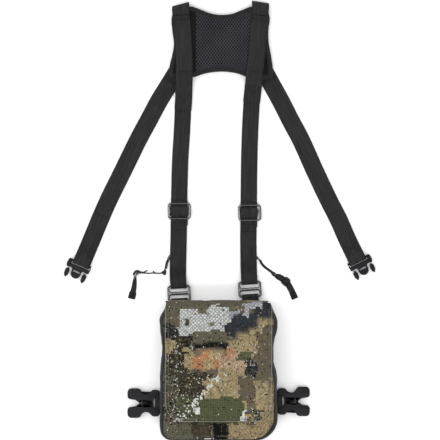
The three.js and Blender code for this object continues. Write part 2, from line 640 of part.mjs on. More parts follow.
// springy arm ending in an oval barb with a square catch behind it
function prong(direction) {
  const root = MALE_BASE_L - BAR_W / 2 + 0.4;
  const tip = MALE_L - BAR_W / 2;
  const neck = PRONG_NECK;
  const barb = PRONG_BARB;
  const catchU = tip - CATCH_L;
  const noseL = 5;
  const v = PRONG_V;
  const shape = new THREE.Shape();
  shape.moveTo(root, v - neck);
  shape.lineTo(catchU, v - neck);
  shape.lineTo(catchU + 2, v - barb + 0.6);
  shape.lineTo(tip - noseL, v - barb + 0.4);
  shape.absellipse(tip - noseL, v, noseL, barb - 0.4, -Math.PI / 2, Math.PI / 2, false);
  shape.lineTo(catchU + 1, v + barb);
  shape.lineTo(catchU, v + neck + 0.4);
  shape.lineTo(root, v + neck);
  const solid = plate(shape, [-PRONG_T / 2, PRONG_T / 2], 6);
  return direction > 0 ? solid : solid.rotateX(Math.PI);
}

function place(geometry, origin, heading) {
  return geometry.rotateZ(Math.atan2(heading.y, heading.x)).translate(origin.x, origin.y, BAR_Z);
}

function buildMaleBuckles() {
  for (const side of SIDES) {
    const { bar, out } = sideFrame(side);
    const middle = bar.clone().addScaledVector(vec(-out.y, out.x, 0), sign[side] * MALE_SHIFT);
    add(`male_buckle_${side}`, place(maleBase(), middle, out), plastic());
    add(`prong_${side}_inner`, place(prong(-sign[side]), middle, out), plastic());
    add(`prong_${side}_outer`, place(prong(sign[side]), middle, out), plastic());
  }
}

// ---------------------------------------------------------------- female buckles
// half of the outline, from the middle of the bar's edge to the mouth between the sleeves;
// each row is one corner or, with four numbers, a curve (control point, then end point)
const FEMALE_HALF = [
  [0, 14], [0, 17, 3, 17], [8, 17], [14, 16.4, 15.5, 11], [20, 7.4, 24, 11.5], [25, 18.6, 31, 19],
  [39, 19], [43, 19, 43, 15], [43, 8], [36, 7.4, 32, 0],
];

// open X-shaped body: a bar, two waisted arms, and a sleeve for a prong at the end of each arm
function femaleBuckle() {
  const half = FEMALE_T / 2;
  const start = -BAR_W / 2;
  const shape = new THREE.Shape();
  shape.moveTo(start, -FEMALE_HALF[0][1]);
  for (const row of FEMALE_HALF.slice(1)) {
    const corners = row.map((value, i) => (i % 2 ? -value : start + value));
    if (row.length > 2) shape.quadraticCurveTo(...corners);
    else shape.lineTo(...corners);
  }
  for (let i = FEMALE_HALF.length - 1; i > 0; i -= 1) {
    const control = FEMALE_HALF[i].slice(0, -2);
    const [u, v] = FEMALE_HALF[i - 1].slice(-2);
    if (control.length) shape.quadraticCurveTo(start + control[0], control[1], start + u, v);
    else shape.lineTo(start + u, v);
  }
  const body = plate(shape, [-half, half], 4);
  const [below, above] = THROUGH;
  const opening = roundedRect([BAR_W / 2, -SLOT_HALF], [BAR_W / 2 + FEMALE_SLOT, SLOT_HALF], 1.6);
  const webSlot = plate(opening, THROUGH, 2);
  const tunnels = SIDES.map((side) => {
    const [near, away] = TUNNEL.v.map((v) => v * sign[side]);
    return blockBetween([start + TUNNEL.start, near, -TUNNEL.height / 2],
      [start + FEMALE_L + 5, away, TUNNEL.height / 2]);
  });
  const thin = (low, high) => block([below, -SLOT_HALF, low], [BAR_W / 2 + 1, SLOT_HALF, high]);
  return cut(body, webSlot, ...tunnels, thin(BAR_T / 2, above), thin(below, -BAR_T / 2));
}

function buildFemaleBuckles() {
  for (const side of SIDES) {
    add(`female_buckle_${side}`,
      place(femaleBuckle(), plan(...FEMALES[side]), plan(sign[side], 0)), plastic());
  }
}

// ---------------------------------------------------------------- tethers
function tube(points, diameter) {
  const curve = new THREE.CatmullRomCurve3(points.map((p) => vec(...p)), false, 'centripetal');
  const corners = Array.from({ length: CORD_SIDES }, (_, i) => {
    const angle = (2 * Math.PI * i) / CORD_SIDES;
    return plan((diameter / 2) * Math.cos(angle), (diameter / 2) * Math.sin(angle));
  });
  const options = { steps: CORD_STEPS, extrudePath: curve, bevelEnabled: false };
  return new THREE.ExtrudeGeometry(new THREE.Shape(corners), options);
}

function flatStrip(points) {
  return band(routeStations(points, TETHER_STEP, () => TETHER_Z), TETHER_W, WEB_T);
}

function buildTethers() {
  for (const side of SIDES) {
    const route = CORD_ROUTE[side];
    const [x, y] = route[0];
    // flat loop of narrow tape sewn to the strap's edge, which the cord is tied to
    add(`tether_anchor_${side}`,
      blockBetween([TETHER_EDGE[side], y + 1.5, 0.4], [x + sign[side] * 1.6, y + 7.5, 2.8]),
      webbing());
    add(`tether_cord_${side}`, tube(route, CORD_D), cordage());
  }
  add('tether_tab_left', flatStrip(TAB_LEFT), webbing());
  add('tether_strap_right', flatStrip(STRAP_RIGHT), webbing());
}

buildCase();
buildLid();
buildTabs();
buildHardware();
buildStraps();
buildYoke();
buildSideStraps();
buildMaleBuckles();
buildFemaleBuckles();
buildTethers();

export default harnessPack;
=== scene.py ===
# Binocular harness pack: the finished look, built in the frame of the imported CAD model.
# Lengths are millimetres in the model's frame, and become metres where a mesh is made.
import math

import bmesh
import bpy
import numpy as np
from mathutils import Matrix, Vector, noise
from mathutils.bvhtree import BVHTree
from mathutils.geometry import tessellate_polygon


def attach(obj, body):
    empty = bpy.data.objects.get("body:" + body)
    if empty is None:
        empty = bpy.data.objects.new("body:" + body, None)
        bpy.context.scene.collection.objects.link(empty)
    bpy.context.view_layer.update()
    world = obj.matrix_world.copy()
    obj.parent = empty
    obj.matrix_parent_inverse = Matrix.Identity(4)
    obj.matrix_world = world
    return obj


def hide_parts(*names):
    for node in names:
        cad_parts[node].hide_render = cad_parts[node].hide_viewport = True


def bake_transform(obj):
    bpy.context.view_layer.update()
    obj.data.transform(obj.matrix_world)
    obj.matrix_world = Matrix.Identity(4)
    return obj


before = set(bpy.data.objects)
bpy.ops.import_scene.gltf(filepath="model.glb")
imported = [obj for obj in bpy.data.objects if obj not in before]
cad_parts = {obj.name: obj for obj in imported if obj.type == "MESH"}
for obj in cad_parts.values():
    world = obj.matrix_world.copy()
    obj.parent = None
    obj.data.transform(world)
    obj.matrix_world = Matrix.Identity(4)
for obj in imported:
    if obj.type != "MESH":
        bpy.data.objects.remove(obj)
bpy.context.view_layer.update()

MM = 0.001
PATTERN = "pattern"  # attribute: place on the cloth in mm, across and along
SIDES = ("left", "right")
SIGN = {"left": -1, "right": 1}


# ------------------------------------------------------------------ camera, light, floor
CAMERA_HEIGHT = 4000
VIEW_WIDTH = 642.4  # what the frame takes in at the floor
SENSOR = 36
SKY = (1.4, 0.5)  # brightness of the studio from the sides, and from straight above
SKY_FADE = (0.82, 0.93)  # height on the unit sphere between which the one becomes the other
STRIP_POWER = 8


def add_object(name, data):
    thing = bpy.data.objects.new(name, data)
    bpy.context.scene.collection.objects.link(thing)
    return thing


def build_camera():
    data = bpy.data.cameras.new("camera")
    data.sensor_width = SENSOR
    data.lens = SENSOR * CAMERA_HEIGHT / VIEW_WIDTH
    data.clip_end = 50
    camera = add_object("camera", data)
    camera.location = (0, 0, CAMERA_HEIGHT * MM)
    bpy.context.scene.camera = camera


def area_light(name, place, aim, size, power):
    data = bpy.data.lights.new(name, "AREA")
    data.shape = "RECTANGLE"
    data.size, data.size_y = size
    data.energy = power
    lamp = add_object(name, data)
    lamp.location = place
    lamp.rotation_euler = (Vector(aim) - Vector(place)).to_track_quat("-Z", "Y").to_euler()


def build_studio():
    scene = bpy.context.scene
    scene.view_settings.view_transform = "Standard"
    world = bpy.data.worlds.new("studio")
    world.use_nodes = True
    background = world.node_tree.nodes["Background"]
    background.inputs["Color"].default_value = (1, 1, 1, 1)
    tree = world.node_tree
    place = tree.nodes.new("ShaderNodeTexCoord")
    parts = tree.nodes.new("ShaderNodeSeparateXYZ")
    tree.links.new(place.outputs["Generated"], parts.inputs[0])
    fade = tree.nodes.new("ShaderNodeMapRange")
    fade.interpolation_type = "SMOOTHSTEP"
    for socket, value in zip(list(fade.inputs)[1:5], (*SKY_FADE, *SKY)):
        socket.default_value = value
    tree.links.new(parts.outputs["Z"], fade.inputs[0])
    tree.links.new(fade.outputs[0], background.inputs["Strength"])
    scene.world = world
    area_light("strip_low", (0, -0.72, 1.7), (0, 0, 0), (2.2, 0.22), STRIP_POWER)
    area_light("strip_left", (-0.8, 0, 1.7), (0, 0, 0), (0.22, 2.2), STRIP_POWER)

    half = 6.0
    mesh = bpy.data.meshes.new("floor")
    corners = [(-half, -half, 0), (half, -half, 0), (half, half, 0), (-half, half, 0)]
    mesh.from_pydata(corners, [], [(0, 1, 2, 3)])
    floor = add_object("floor", mesh)
    m = Shader("floor")
    m.set("Base Color", (0.93, 0.93, 0.93))
    m.set("Roughness", 0.9)
    m.set("Specular IOR Level", 0.1)
    mesh.materials.append(m.material)


# ------------------------------------------------------------------ shader building
class Shader:
    """A node material, with short calls for the nodes that cloth and plastic need."""

    def __init__(self, name):
        self.material = bpy.data.materials.new(name)
        self.material.use_nodes = True
        self.tree = self.material.node_tree
        self.bsdf = self.tree.nodes["Principled BSDF"]

    def put(self, socket, value):
        if isinstance(value, bpy.types.NodeSocket):
            self.tree.links.new(value, socket)
        elif isinstance(value, (tuple, list)) and socket.type == "RGBA":
            socket.default_value = (*value[:3], 1)
        else:
            socket.default_value = value

    def set(self, name, value):
        self.put(self.bsdf.inputs[name], value)

    def pattern(self):
        node = self.tree.nodes.new("ShaderNodeAttribute")
        node.attribute_name = PATTERN
        return node.outputs["Vector"]

    def place(self):
        """Object coordinates in mm, which go with the piece."""
        node = self.tree.nodes.new("ShaderNodeTexCoord")
        return self.vector("SCALE", node.outputs["Object"], scale=1 / MM)

    def math(self, operation, *values):
        node = self.tree.nodes.new("ShaderNodeMath")
        node.operation = operation
        for socket, value in zip(node.inputs, values):
            self.put(socket, value)
        return node.outputs[0]

    def linear(self, value, slope, base):
        return self.math("MULTIPLY_ADD", value, slope, base)

    def times(self, a, b):
        return self.math("MULTIPLY", a, b)

    def vector(self, operation, *values, scale=None):
        node = self.tree.nodes.new("ShaderNodeVectorMath")
        node.operation = operation
        for socket, value in zip(node.inputs, values):
            self.put(socket, value)
        if scale is not None:
            self.put(node.inputs["Scale"], scale)
        return node.outputs["Value" if operation in ("LENGTH", "DISTANCE") else "Vector"]

    def split(self, vector):
        node = self.tree.nodes.new("ShaderNodeSeparateXYZ")
        self.put(node.inputs[0], vector)
        return node.outputs[0], node.outputs[1], node.outputs[2]

    def join(self, x, y):
        node = self.tree.nodes.new("ShaderNodeCombineXYZ")
        for socket, value in zip(node.inputs, (x, y)):
            self.put(socket, value)
        return node.outputs[0]

    def noise(self, vector, scale, detail=2.0, colour=False):
        node = self.tree.nodes.new("ShaderNodeTexNoise")
        self.put(node.inputs["Vector"], vector)
        node.inputs["Scale"].default_value = scale
        node.inputs["Detail"].default_value = detail
        return node.outputs["Color" if colour else 0]

    def white(self, vector, output="Color"):
        """White noise: Color is a vector of three numbers from 0 to 1, and Value is one."""
        node = self.tree.nodes.new("ShaderNodeTexWhiteNoise")
        node.noise_dimensions = "3D"
        self.put(node.inputs["Vector"], vector)
        return node.outputs[output]

    def cells(self, vector, scale, randomness=1.0):
        """Distance to the nearest border between cells, as a share of a cell."""
        node = self.tree.nodes.new("ShaderNodeTexVoronoi")
        node.feature = "DISTANCE_TO_EDGE"
        self.put(node.inputs["Vector"], vector)
        node.inputs["Scale"].default_value = scale
        node.inputs["Randomness"].default_value = randomness
        return node.outputs["Distance"]

    def seeds(self, vector, scale):
        """Distance to the nearest scattered point, and that point's own random numbers."""
        node = self.tree.nodes.new("ShaderNodeTexVoronoi")
        node.feature = "F1"
        self.put(node.inputs["Vector"], vector)
        node.inputs["Scale"].default_value = scale
        return node.outputs["Distance"], node.outputs["Color"]

    def mix(self, factor, a, b):
        node = self.tree.nodes.new("ShaderNodeMix")
        node.data_type = "RGBA"
        self.put(node.inputs[0], factor)
        self.put(node.inputs[6], a)
        self.put(node.inputs[7], b)
        return node.outputs[2]

    def shade(self, colour, factor):
        """Colour times a grey factor."""
        return self.vector("SCALE", colour, scale=factor)

    def range(self, value, low, high, out_low=0.0, out_high=1.0):
        node = self.tree.nodes.new("ShaderNodeMapRange")
        node.interpolation_type = "SMOOTHSTEP"
        for socket, given in zip(node.inputs, (value, low, high, out_low, out_high)):
            self.put(socket, given)
        return node.outputs[0]

    def bump(self, height, distance):
        """Surface relief: height 0 to 1 times distance in mm. Reliefs stack."""
        node = self.tree.nodes.new("ShaderNodeBump")
        node.inputs["Strength"].default_value = 1.0
        node.inputs["Distance"].default_value = distance * MM
        self.put(node.inputs["Height"], height)
        normal = self.bsdf.inputs["Normal"]
        if normal.is_linked:
            self.tree.links.new(normal.links[0].from_socket, node.inputs["Normal"])
        self.tree.links.new(node.outputs[0], normal)


def triangle(m, value, period):
    """Zigzag from 0 to 1 and back over a period."""
    return m.math("PINGPONG", m.math("DIVIDE", value, period / 2), 1.0)


def webbing_material(name, tone, rib=1.25):
    """Woven polyester webbing: herringbone ribs, firm selvedges, faint tonal bands and fluff, with painted
    shade darkening the rounded edges.
    """
    m = Shader(name)
    where = m.pattern()
    across, along, edge = m.split(where)
    zigzag = triangle(m, across, 6.0)
    rib_place = m.linear(zigzag, 1.4, along)
    ribs = m.math("ABSOLUTE", m.math("SINE", m.times(rib_place, math.pi / rib)))
    cords = m.math("ABSOLUTE", m.math("SINE", m.times(across, math.pi / 0.75)))
    weave = m.times(ribs, m.linear(cords, 0.45, 0.55))
    selvedge = m.range(edge, 1.1, 1.7, 1.0, 0.0)
    border = m.math("ABSOLUTE", m.math("SINE", m.times(along, math.pi / 0.8)))
    height = m.math("ADD", m.times(weave, m.math("SUBTRACT", 1.0, selvedge)),
                    m.times(border, m.times(selvedge, 1.15)))
    bands = m.noise(m.vector("MULTIPLY", where, (0.05, 0.022, 1.0)), 1.0, 3)
    fuzz = m.noise(where, 2.6, 3)
    tone_now = m.linear(bands, 0.55, 0.62)
    tone_now = m.times(tone_now, m.linear(height, 0.6, 0.62))
    tone_now = m.times(tone_now, m.linear(fuzz, 0.35, 0.82))
    # painted shade: the colour darkens towards the band's rounded edges, where the light falls off
    painted_edge_shade = m.range(edge, 0.3, 1.7, 0.3, 1.0)
    streaks = m.noise(m.vector("MULTIPLY", where, (0.16, 0.022, 1.0)), 1.0, 1)
    m.set("Base Color", m.shade(tone, m.times(tone_now, painted_edge_shade)))
    m.set("Roughness", m.linear(height, -0.14, 0.84))
    m.set("Specular IOR Level", 0.16)
    m.set("Sheen Weight", 0.06)
    m.set("Sheen Roughness", 0.5)
    m.bump(streaks, 6.0)
    m.bump(height, 0.22)
    m.bump(fuzz, 0.06)
    return m.material


MOTTLE = 0.35


def cloth_material(name, tone, thread=0.9, grain=0.16):
    """Plain-woven pack cloth."""
    m = Shader(name)
    where = m.pattern()
    across, along, _ = m.split(where)
    warp = m.math("SINE", m.times(across, 2 * math.pi / thread))
    weft = m.math("SINE", m.times(along, 2 * math.pi / thread))
    weave = m.linear(m.times(warp, weft), 0.5, 0.5)
    broad = m.noise(m.vector("SCALE", where, scale=0.03), 1.0, 4)
    fine = m.noise(where, 1.1, 3)
    tone_now = m.linear(broad, MOTTLE, 1 - MOTTLE / 2)
    tone_now = m.times(tone_now, m.linear(weave, 0.5, 0.75))
    tone_now = m.times(tone_now, m.linear(fine, 0.5, 0.75))
    m.set("Base Color", m.shade(tone, tone_now))
    m.set("Roughness", m.linear(weave, -0.1, 0.86))
    m.set("Specular IOR Level", 0.14)
    m.set("Sheen Weight", 0.06)
    m.set("Sheen Roughness", 0.5)
    m.bump(weave, grain)
    m.bump(fine, 0.08)
    return m.material


def mesh_material():
    """Spacer mesh: knitted ridges round small open cells, whose depths are painted near black as shade."""
    m = Shader("air_mesh")
    where = m.pattern()
    across, along, depth = m.split(where)
    stitch = m.math("SINE", m.times(m.math("ADD", across, along), 2 * math.pi / 0.7))
    thread = m.linear(stitch, 0.5, 0.5)
    ridge = m.range(depth, 0.2, 0.9)
    broad = m.noise(m.vector("SCALE", where, scale=0.03), 1.0, 3)
    # painted shade: the low parts of the cells are coloured near black, the ridges grey
    colour = m.mix(ridge, (0.001, 0.001, 0.001), (0.036, 0.035, 0.042))
    tone_now = m.times(m.linear(broad, 0.9, 0.55), m.linear(thread, 0.4, 0.8))
    m.set("Base Color", m.shade(colour, tone_now))
    m.set("Roughness", 0.8)
    m.set("Specular IOR Level", 0.12)
    m.set("Sheen Weight", 0.05)
    m.bump(thread, 0.1)
    return m.material


def foam_material():
    m = Shader("foam")
    where = m.place()
    pores = m.cells(where, 1.6)
    m.set("Base Color", m.shade((0.10, 0.10, 0.10), m.range(pores, 0.0, 0.2, 0.5, 1.0)))
    m.set("Roughness", 0.95)
    m.bump(pores, 0.3)
    return m.material


def plastic_material():
    """Satin acetal, spark-eroded texture, a little lighter and darker in broad random patches."""
    m = Shader("plastic")
    where = m.place()
    spark = m.noise(where, 3.2, 4)
    smear = m.noise(where, 0.14, 3)
    m.set("Base Color", m.shade((0.007, 0.007, 0.009), m.linear(smear, 0.9, 0.5)))
    m.set("Roughness", m.linear(smear, 0.2, 0.26))
    m.set("Specular IOR Level", 0.16)
    m.bump(spark, 0.035)
    return m.material


def nickel_material():
    """Polished black plating over die-cast zinc, with hairline scratches."""
    m = Shader("black_nickel")
    where = m.place()
    flow = m.noise(m.vector("MULTIPLY", where, (0.25, 2.2, 0.4)), 1.0, 4)
    smear = m.noise(where, 0.22, 2)
    m.set("Base Color", m.shade((0.085, 0.085, 0.090), m.linear(smear, 0.5, 0.75)))
    m.set("Metallic", 1.0)
    m.set("Roughness", m.linear(flow, 0.16, 0.08))
    m.bump(flow, 0.02)
    return m.material


def steel_material():
    m = Shader("steel")
    where = m.place()
    brush = m.noise(m.vector("MULTIPLY", where, (0.2, 6.0, 1.0)), 1.0, 3)
    m.set("Base Color", m.shade((0.55, 0.55, 0.56), m.linear(brush, 0.3, 0.8)))
    m.set("Metallic", 1.0)
    m.set("Roughness", m.linear(brush, 0.3, 0.25))
    return m.material


def thread_material(name, tone):
    m = Shader(name)
    where = m.place()
    twist = m.noise(where, 4.0, 2)
    m.set("Base Color", m.shade(tone, m.linear(twist, 0.8, 0.6)))
    m.set("Roughness", 0.6)
    m.set("Specular IOR Level", 0.2)
    m.bump(twist, 0.05)
    return m.material


STRAND_PITCH = 1.1


def cord_material(name, tone):
    """Braided cord: crossing diagonal strands, with painted highlights on their crowns and painted shade
    between them.
    """
    m = Shader(name)
    where = m.pattern()
    around, along, _ = m.split(where)
    strands = []
    for way in ("ADD", "SUBTRACT"):
        slant = m.times(m.math(way, along, around), math.pi / STRAND_PITCH)
        strands.append(m.math("ABSOLUTE", m.math("SINE", slant)))
    braid = m.times(*strands)
    # painted highlight and shade: strand crowns are coloured up to 2.4 times the tone, the grooves down to
    # 0.2 times
    m.set("Base Color", m.shade(tone, m.linear(braid, 2.2, 0.2)))
    m.set("Roughness", 0.72)
    m.set("Specular IOR Level", 0.25)
    m.bump(braid, 0.25)
    return m.material


# ------------------------------------------------------------------ mesh making
def make_piece(name, points, faces, pattern, material):
    """A smooth mesh object from points in mm; pattern is each point's place on the cloth."""
    name = f"{name}_fine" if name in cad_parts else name
    mesh = bpy.data.meshes.new(name)
    mesh.from_pydata((np.asarray(points, float) * MM).tolist(), [], faces)
    b = bmesh.new()
    b.from_mesh(mesh)
    bmesh.ops.recalc_face_normals(b, faces=b.faces)
    b.to_mesh(mesh)
    b.free()
    attribute = mesh.attributes.new(PATTERN, "FLOAT_VECTOR", "POINT")
    attribute.data.foreach_set("vector", np.asarray(pattern, np.float32).ravel())
    mesh.shade_smooth()
    mesh.materials.append(material)
    return add_object(name, mesh)


def settle(piece, body, slot, *replaced):
    """Ride on a body and stand for CAD nodes. The slot is not used."""
    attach(piece, body)
    if replaced:
        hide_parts(*replaced)
    return piece


def bridge(rings, closed=True):
    """Quads between successive rings of vertex numbers."""
    faces = []
    for lower, upper in zip(rings[:-1], rings[1:]):
        count = len(lower)
        for k in range(count if closed else count - 1):
            n = (k + 1) % count
            faces.append((lower[k], lower[n], upper[n], upper[k]))
    return faces


def unit(v):
    return v / np.maximum(np.linalg.norm(v, axis=-1, keepdims=True), 1e-9)


def run_along(points):
    """Distance of each point from the first, along the line through them."""
    return np.concatenate([[0], np.cumsum(np.linalg.norm(np.diff(points, axis=0), axis=1))])


def points_at(at, run, points):
    """Points at the distances given by at, on a line whose points have the distances in run."""
    return np.stack([np.interp(at, run, column) for column in np.asarray(points).T], -1)


def smooth(corners, step, closed=False):
    """Points about every step mm along a centripetal curve through the corners."""
    p = np.array(corners, float)
    if closed:
        p = np.vstack([p[-1], p, p[0], p[1]])
    else:
        p = np.vstack([2 * p[0] - p[1], p, 2 * p[-1] - p[-2]])
    fine = []
    for a, b, c, d in zip(p[:-3], p[1:-2], p[2:-1], p[3:]):
        t1 = np.linalg.norm(b - a) ** 0.5
        t2 = t1 + np.linalg.norm(c - b) ** 0.5
        t3 = t2 + np.linalg.norm(d - c) ** 0.5
        t = np.linspace(t1, t2, 24, endpoint=False)[:, None]
        ab = a + (b - a) * t / t1
        bc = b + (c - b) * (t - t1) / (t2 - t1)
        cd = c + (d - c) * (t - t2) / (t3 - t2)
        abc = ab + (bc - ab) * t / t2
        bcd = bc + (cd - bc) * (t - t1) / (t3 - t1)
        fine.append(abc + (bcd - abc) * (t - t1) / (t2 - t1))
    fine = np.vstack([*fine, p[1] if closed else p[-2]])
    run = run_along(fine)
    count = max(3, int(round(run[-1] / step)) + 1)
    at = np.linspace(0, run[-1], count)
    points = points_at(at, run, fine)
    return points[:-1] if closed else points


def ease(value, low, high):
    t = np.clip((value - low) / (high - low), 0, 1)
    return t * t * (3 - 2 * t)


# ------------------------------------------------------------------ webbing
class Line:
    """The middle line of a band of webbing, with the direction across it at each point."""

    def __init__(self, points, across):
        self.points = np.asarray(points, float)
        self.across = np.broadcast_to(np.asarray(across, float), self.points.shape)

    def __add__(self, other):
        return Line(np.vstack([self.points, other.points]), np.vstack([self.across, other.across]))

    def lengths(self):
        return run_along(self.points)

    def reversed(self):
        return Line(self.points[::-1], self.across[::-1])

    def part(self, chosen):
        return Line(self.points[chosen], self.across[chosen])


WEB_STEP = 2.2


def route_line(route, level, step=WEB_STEP):
    """Line along a plan route; level gives the height for distance from the start and for y."""
    plan = smooth(route, step)
    run = run_along(plan)
    along = unit(np.gradient(plan, axis=0))
    height = np.broadcast_to(level(run, plan[:, 1]), run.shape)
    across = np.column_stack([-along[:, 1], along[:, 0], 0 * run])
    return Line(np.column_stack([plan, height]), across)


def ribbon(name, line, width, material, thickness=None, start=0.0, columns=9, taper=None, slant=None):
    """Woven band with round edges. Its pattern is place across, place along, distance from the edge.
    slant, for each point of the line, moves the band along y for each mm to the right."""
    r = (thickness or WEB_T) / 2
    flat = np.linspace(-1, 1, columns)
    turn = np.radians([60, 20, -20, -60])
    a = np.concatenate([flat, np.ones(4), flat[::-1], -np.ones(4)])
    out = np.concatenate([0 * flat, np.cos(turn), 0 * flat, -np.cos(turn)])
    up = np.concatenate([0 * flat + 1, np.sin(turn), 0 * flat - 1, -np.sin(turn)])
    along = unit(np.gradient(line.points, axis=0))
    across = unit(line.across - (line.across * along).sum(1, keepdims=True) * along)
    normal = np.cross(across, along)
    half = (np.full(len(along), width) if taper is None else np.interp(line.lengths(), *taper)) / 2 - r
    side = a[None, :] * half[:, None] + out[None, :] * r
    points = line.points[:, None, :] + across[:, None, :] * side[..., None]
    points = points + normal[:, None, :] * (up * r)[None, :, None]
    if slant is not None:
        points[..., 1] += slant[:, None] * (points[..., 0] - line.points[:, None, 0])
    rings = np.arange(points.shape[0] * points.shape[1]).reshape(points.shape[:2])
    faces = bridge(rings.tolist()) + [tuple(rings[0]), tuple(rings[-1])]
    run = (start + line.lengths())[:, None] + 0 * side
    edge = (half + r)[:, None] - np.abs(side)
    pattern = np.stack([side, run, edge], -1)
    return make_piece(name, points.reshape(-1, 3), faces, pattern.reshape(-1, 3), material)


STITCH_STEP = 2.7
THREAD_R = 0.32


def stitches(name, seams, body, up=(0, 0, 1), step=STITCH_STEP, radius=THREAD_R, material=None):
    """Thread laid along seams on a surface: one short arched stitch after another."""
    up = np.array(up, float)
    stations = np.array([0.0, 0.12, 0.35, 0.65, 0.88, 1.0])
    swell = np.array([0.35, 0.8, 1.0, 1.0, 0.8, 0.35])
    rise = np.array([-0.8, 0.0, 0.55, 0.55, 0.0, -0.8])
    angles = np.arange(6) * math.pi / 3
    points, faces = [], []
    for seam in seams:
        seam = np.asarray(seam, float)
        run = run_along(seam)
        count = max(1, int(round(run[-1] / step)))
        marks = np.linspace(0, run[-1], count + 1)
        ends = points_at(marks, run, seam)
        for a, b in zip(ends[:-1], ends[1:]):
            along = unit(b - a)
            side = np.cross(up, along)
            a, b = a + 0.09 * (b - a), b - 0.09 * (b - a)
            first = len(points)
            for t, s, z in zip(stations, swell, rise):
                middle = a + (b - a) * t + up * z * radius
                for angle in angles:
                    points.append(middle + radius * s * (side * math.cos(angle) + up * math.sin(angle)))
            rings = [[first + 6 * i + k for k in range(6)] for i in range(6)]
            faces += bridge(rings) + [tuple(rings[0]), tuple(rings[-1])]
    piece = make_piece(name, points, faces, points, material or M["thread"])
    return settle(piece, body, "webbing")


def on_line(line, run, offset, lift):
    """Point on a band's upper face: distance along, place across, height above its middle."""
    lengths = line.lengths()
    across = points_at(run, lengths, line.across)
    return points_at(run, lengths, line.points) + across * offset + np.array([0, 0, lift])


def box_x(line, start, length, width):
    """Seams of a box with a cross in it, on a band from start along it."""
    half = width / 2
    corners = [(start, -half), (start + length, -half), (start + length, half), (start, half)]
    at = [on_line(line, run, offset, ON_WEBBING) for run, offset in corners]
    return [[at[i], at[(i + 1) % 4]] for i in range(4)] + [[at[0], at[2]], [at[1], at[3]]]


def bartack(line, run, width, rows=5, pitch=0.5):
    """Close rows of stitches across a band."""
    return [[on_line(line, run + pitch * k, offset, ON_WEBBING) for offset in (-width / 2, width / 2)]
            for k in range(rows)]


# ------------------------------------------------------------------ sheets and pads
def shell(name, grid, pattern, thickness, material):
    """Closed sheet of cloth: the grid, a second face thickness below it, and the rim between."""
    rows, columns = grid.shape[:2]
    normal = unit(np.cross(np.gradient(grid, axis=1), np.gradient(grid, axis=0)))
    below = grid - normal * thickness
    points = np.concatenate([grid.reshape(-1, 3), below.reshape(-1, 3)])
    upper = np.arange(rows * columns).reshape(rows, columns)
    lower = upper + rows * columns
    faces = bridge(upper.tolist(), False) + bridge(lower.tolist(), False)
    faces += bridge([border(upper), border(lower)])
    pattern = np.asarray(pattern, float).reshape(-1, 3)
    return make_piece(name, points, faces, np.vstack([pattern, pattern]), material)


CROWDING = 0.75


def spread(count):
    """Values from -1 to 1 that crowd towards both ends."""
    t = np.linspace(-1, 1, count)
    return np.sign(t) * (1 - (1 - np.abs(t)) ** (1 / CROWDING))


def fall(share, radius):
    """How far a round edge has fallen away, for the share of its radius that is left to the edge."""
    return radius * (1 - np.sqrt(np.maximum(1 - share ** 2, 0)))


def border(numbers):
    """The outermost of rows and columns of vertex numbers, once round."""
    return np.concatenate([numbers[0], numbers[1:, -1], numbers[-1, -2::-1], numbers[-2:0:-1, 0]])


class Panel:
    """A flat piece of a pack with round corners, as rows and columns of points.
    Corner radii are (left, right) at the low end and at the high end."""

    def __init__(self, middle, half, low, high, low_r, high_r, rows, columns):
        self.x0, self.x1, self.low, self.high = middle - half, middle + half, low, high
        self.low_r, self.high_r = low_r, high_r
        y = (low + high) / 2 + spread(rows) * (high - low) / 2
        left, right = self.reach(y)
        self.y = np.repeat(y[:, None], columns, 1)
        t = (spread(columns)[None, :] + 1) / 2
        self.x = left[:, None] * (1 - t) + right[:, None] * t
        self.edge = self._edge()

    def reach(self, y):
        """Left and right limit of the panel at y."""
        bites = []
        for k in range(2):
            low_r, high_r = self.low_r[k], self.high_r[k]
            below = np.clip((self.low + low_r - y) / low_r, 0, 1)
            above = np.clip((y - self.high + high_r) / high_r, 0, 1)
            bites.append(fall(below, low_r) + fall(above, high_r))
        return self.x0 + bites[0], self.x1 - bites[1]

    def _edge(self):
        """Distance of each point from the outline."""
        up, down = self.high - self.y, self.y - self.low
        d = np.minimum(np.minimum(self.x - self.x0, self.x1 - self.x), np.minimum(up, down))
        for k, dx in ((0, self.x - self.x0), (1, self.x1 - self.x)):
            for r, dy in ((self.low_r[k], down), (self.high_r[k], up)):
                corner = (dx < r) & (dy < r)
                d = np.where(corner, r - np.hypot(r - dx, r - dy), d)
        return np.maximum(d, 0)

    def outline(self, inset=0.0, step=3.0):
        """Closed outline moved inwards, anticlockwise from the low left corner."""
        x0, x1, y0, y1 = self.x0 + inset, self.x1 - inset, self.low + inset, self.high - inset
        low = [max(r - inset, 0.4) for r in self.low_r]
        high = [max(r - inset, 0.4) for r in self.high_r]
        corners = rounded([(x0, y0, low[0]), (x1, y0, low[1]), (x1, y1, high[1]), (x0, y1, high[0])])
        return resample(corners, step)


def resample(outline, step):
    closed = np.vstack([outline, outline[:1]])
    run = run_along(closed)
    at = np.linspace(0, run[-1], int(run[-1] / step) + 1)[:-1]
    return points_at(at, run, closed)


def rounded_face(panel, level, radius, sign=1):
    """Upper face of a panel with its edge rounded off, or with sign -1 its lower face."""
    drop = fall(1 - np.clip(panel.edge / radius, 0, 1), radius)
    return np.stack([panel.x, panel.y, level - sign * drop], -1)


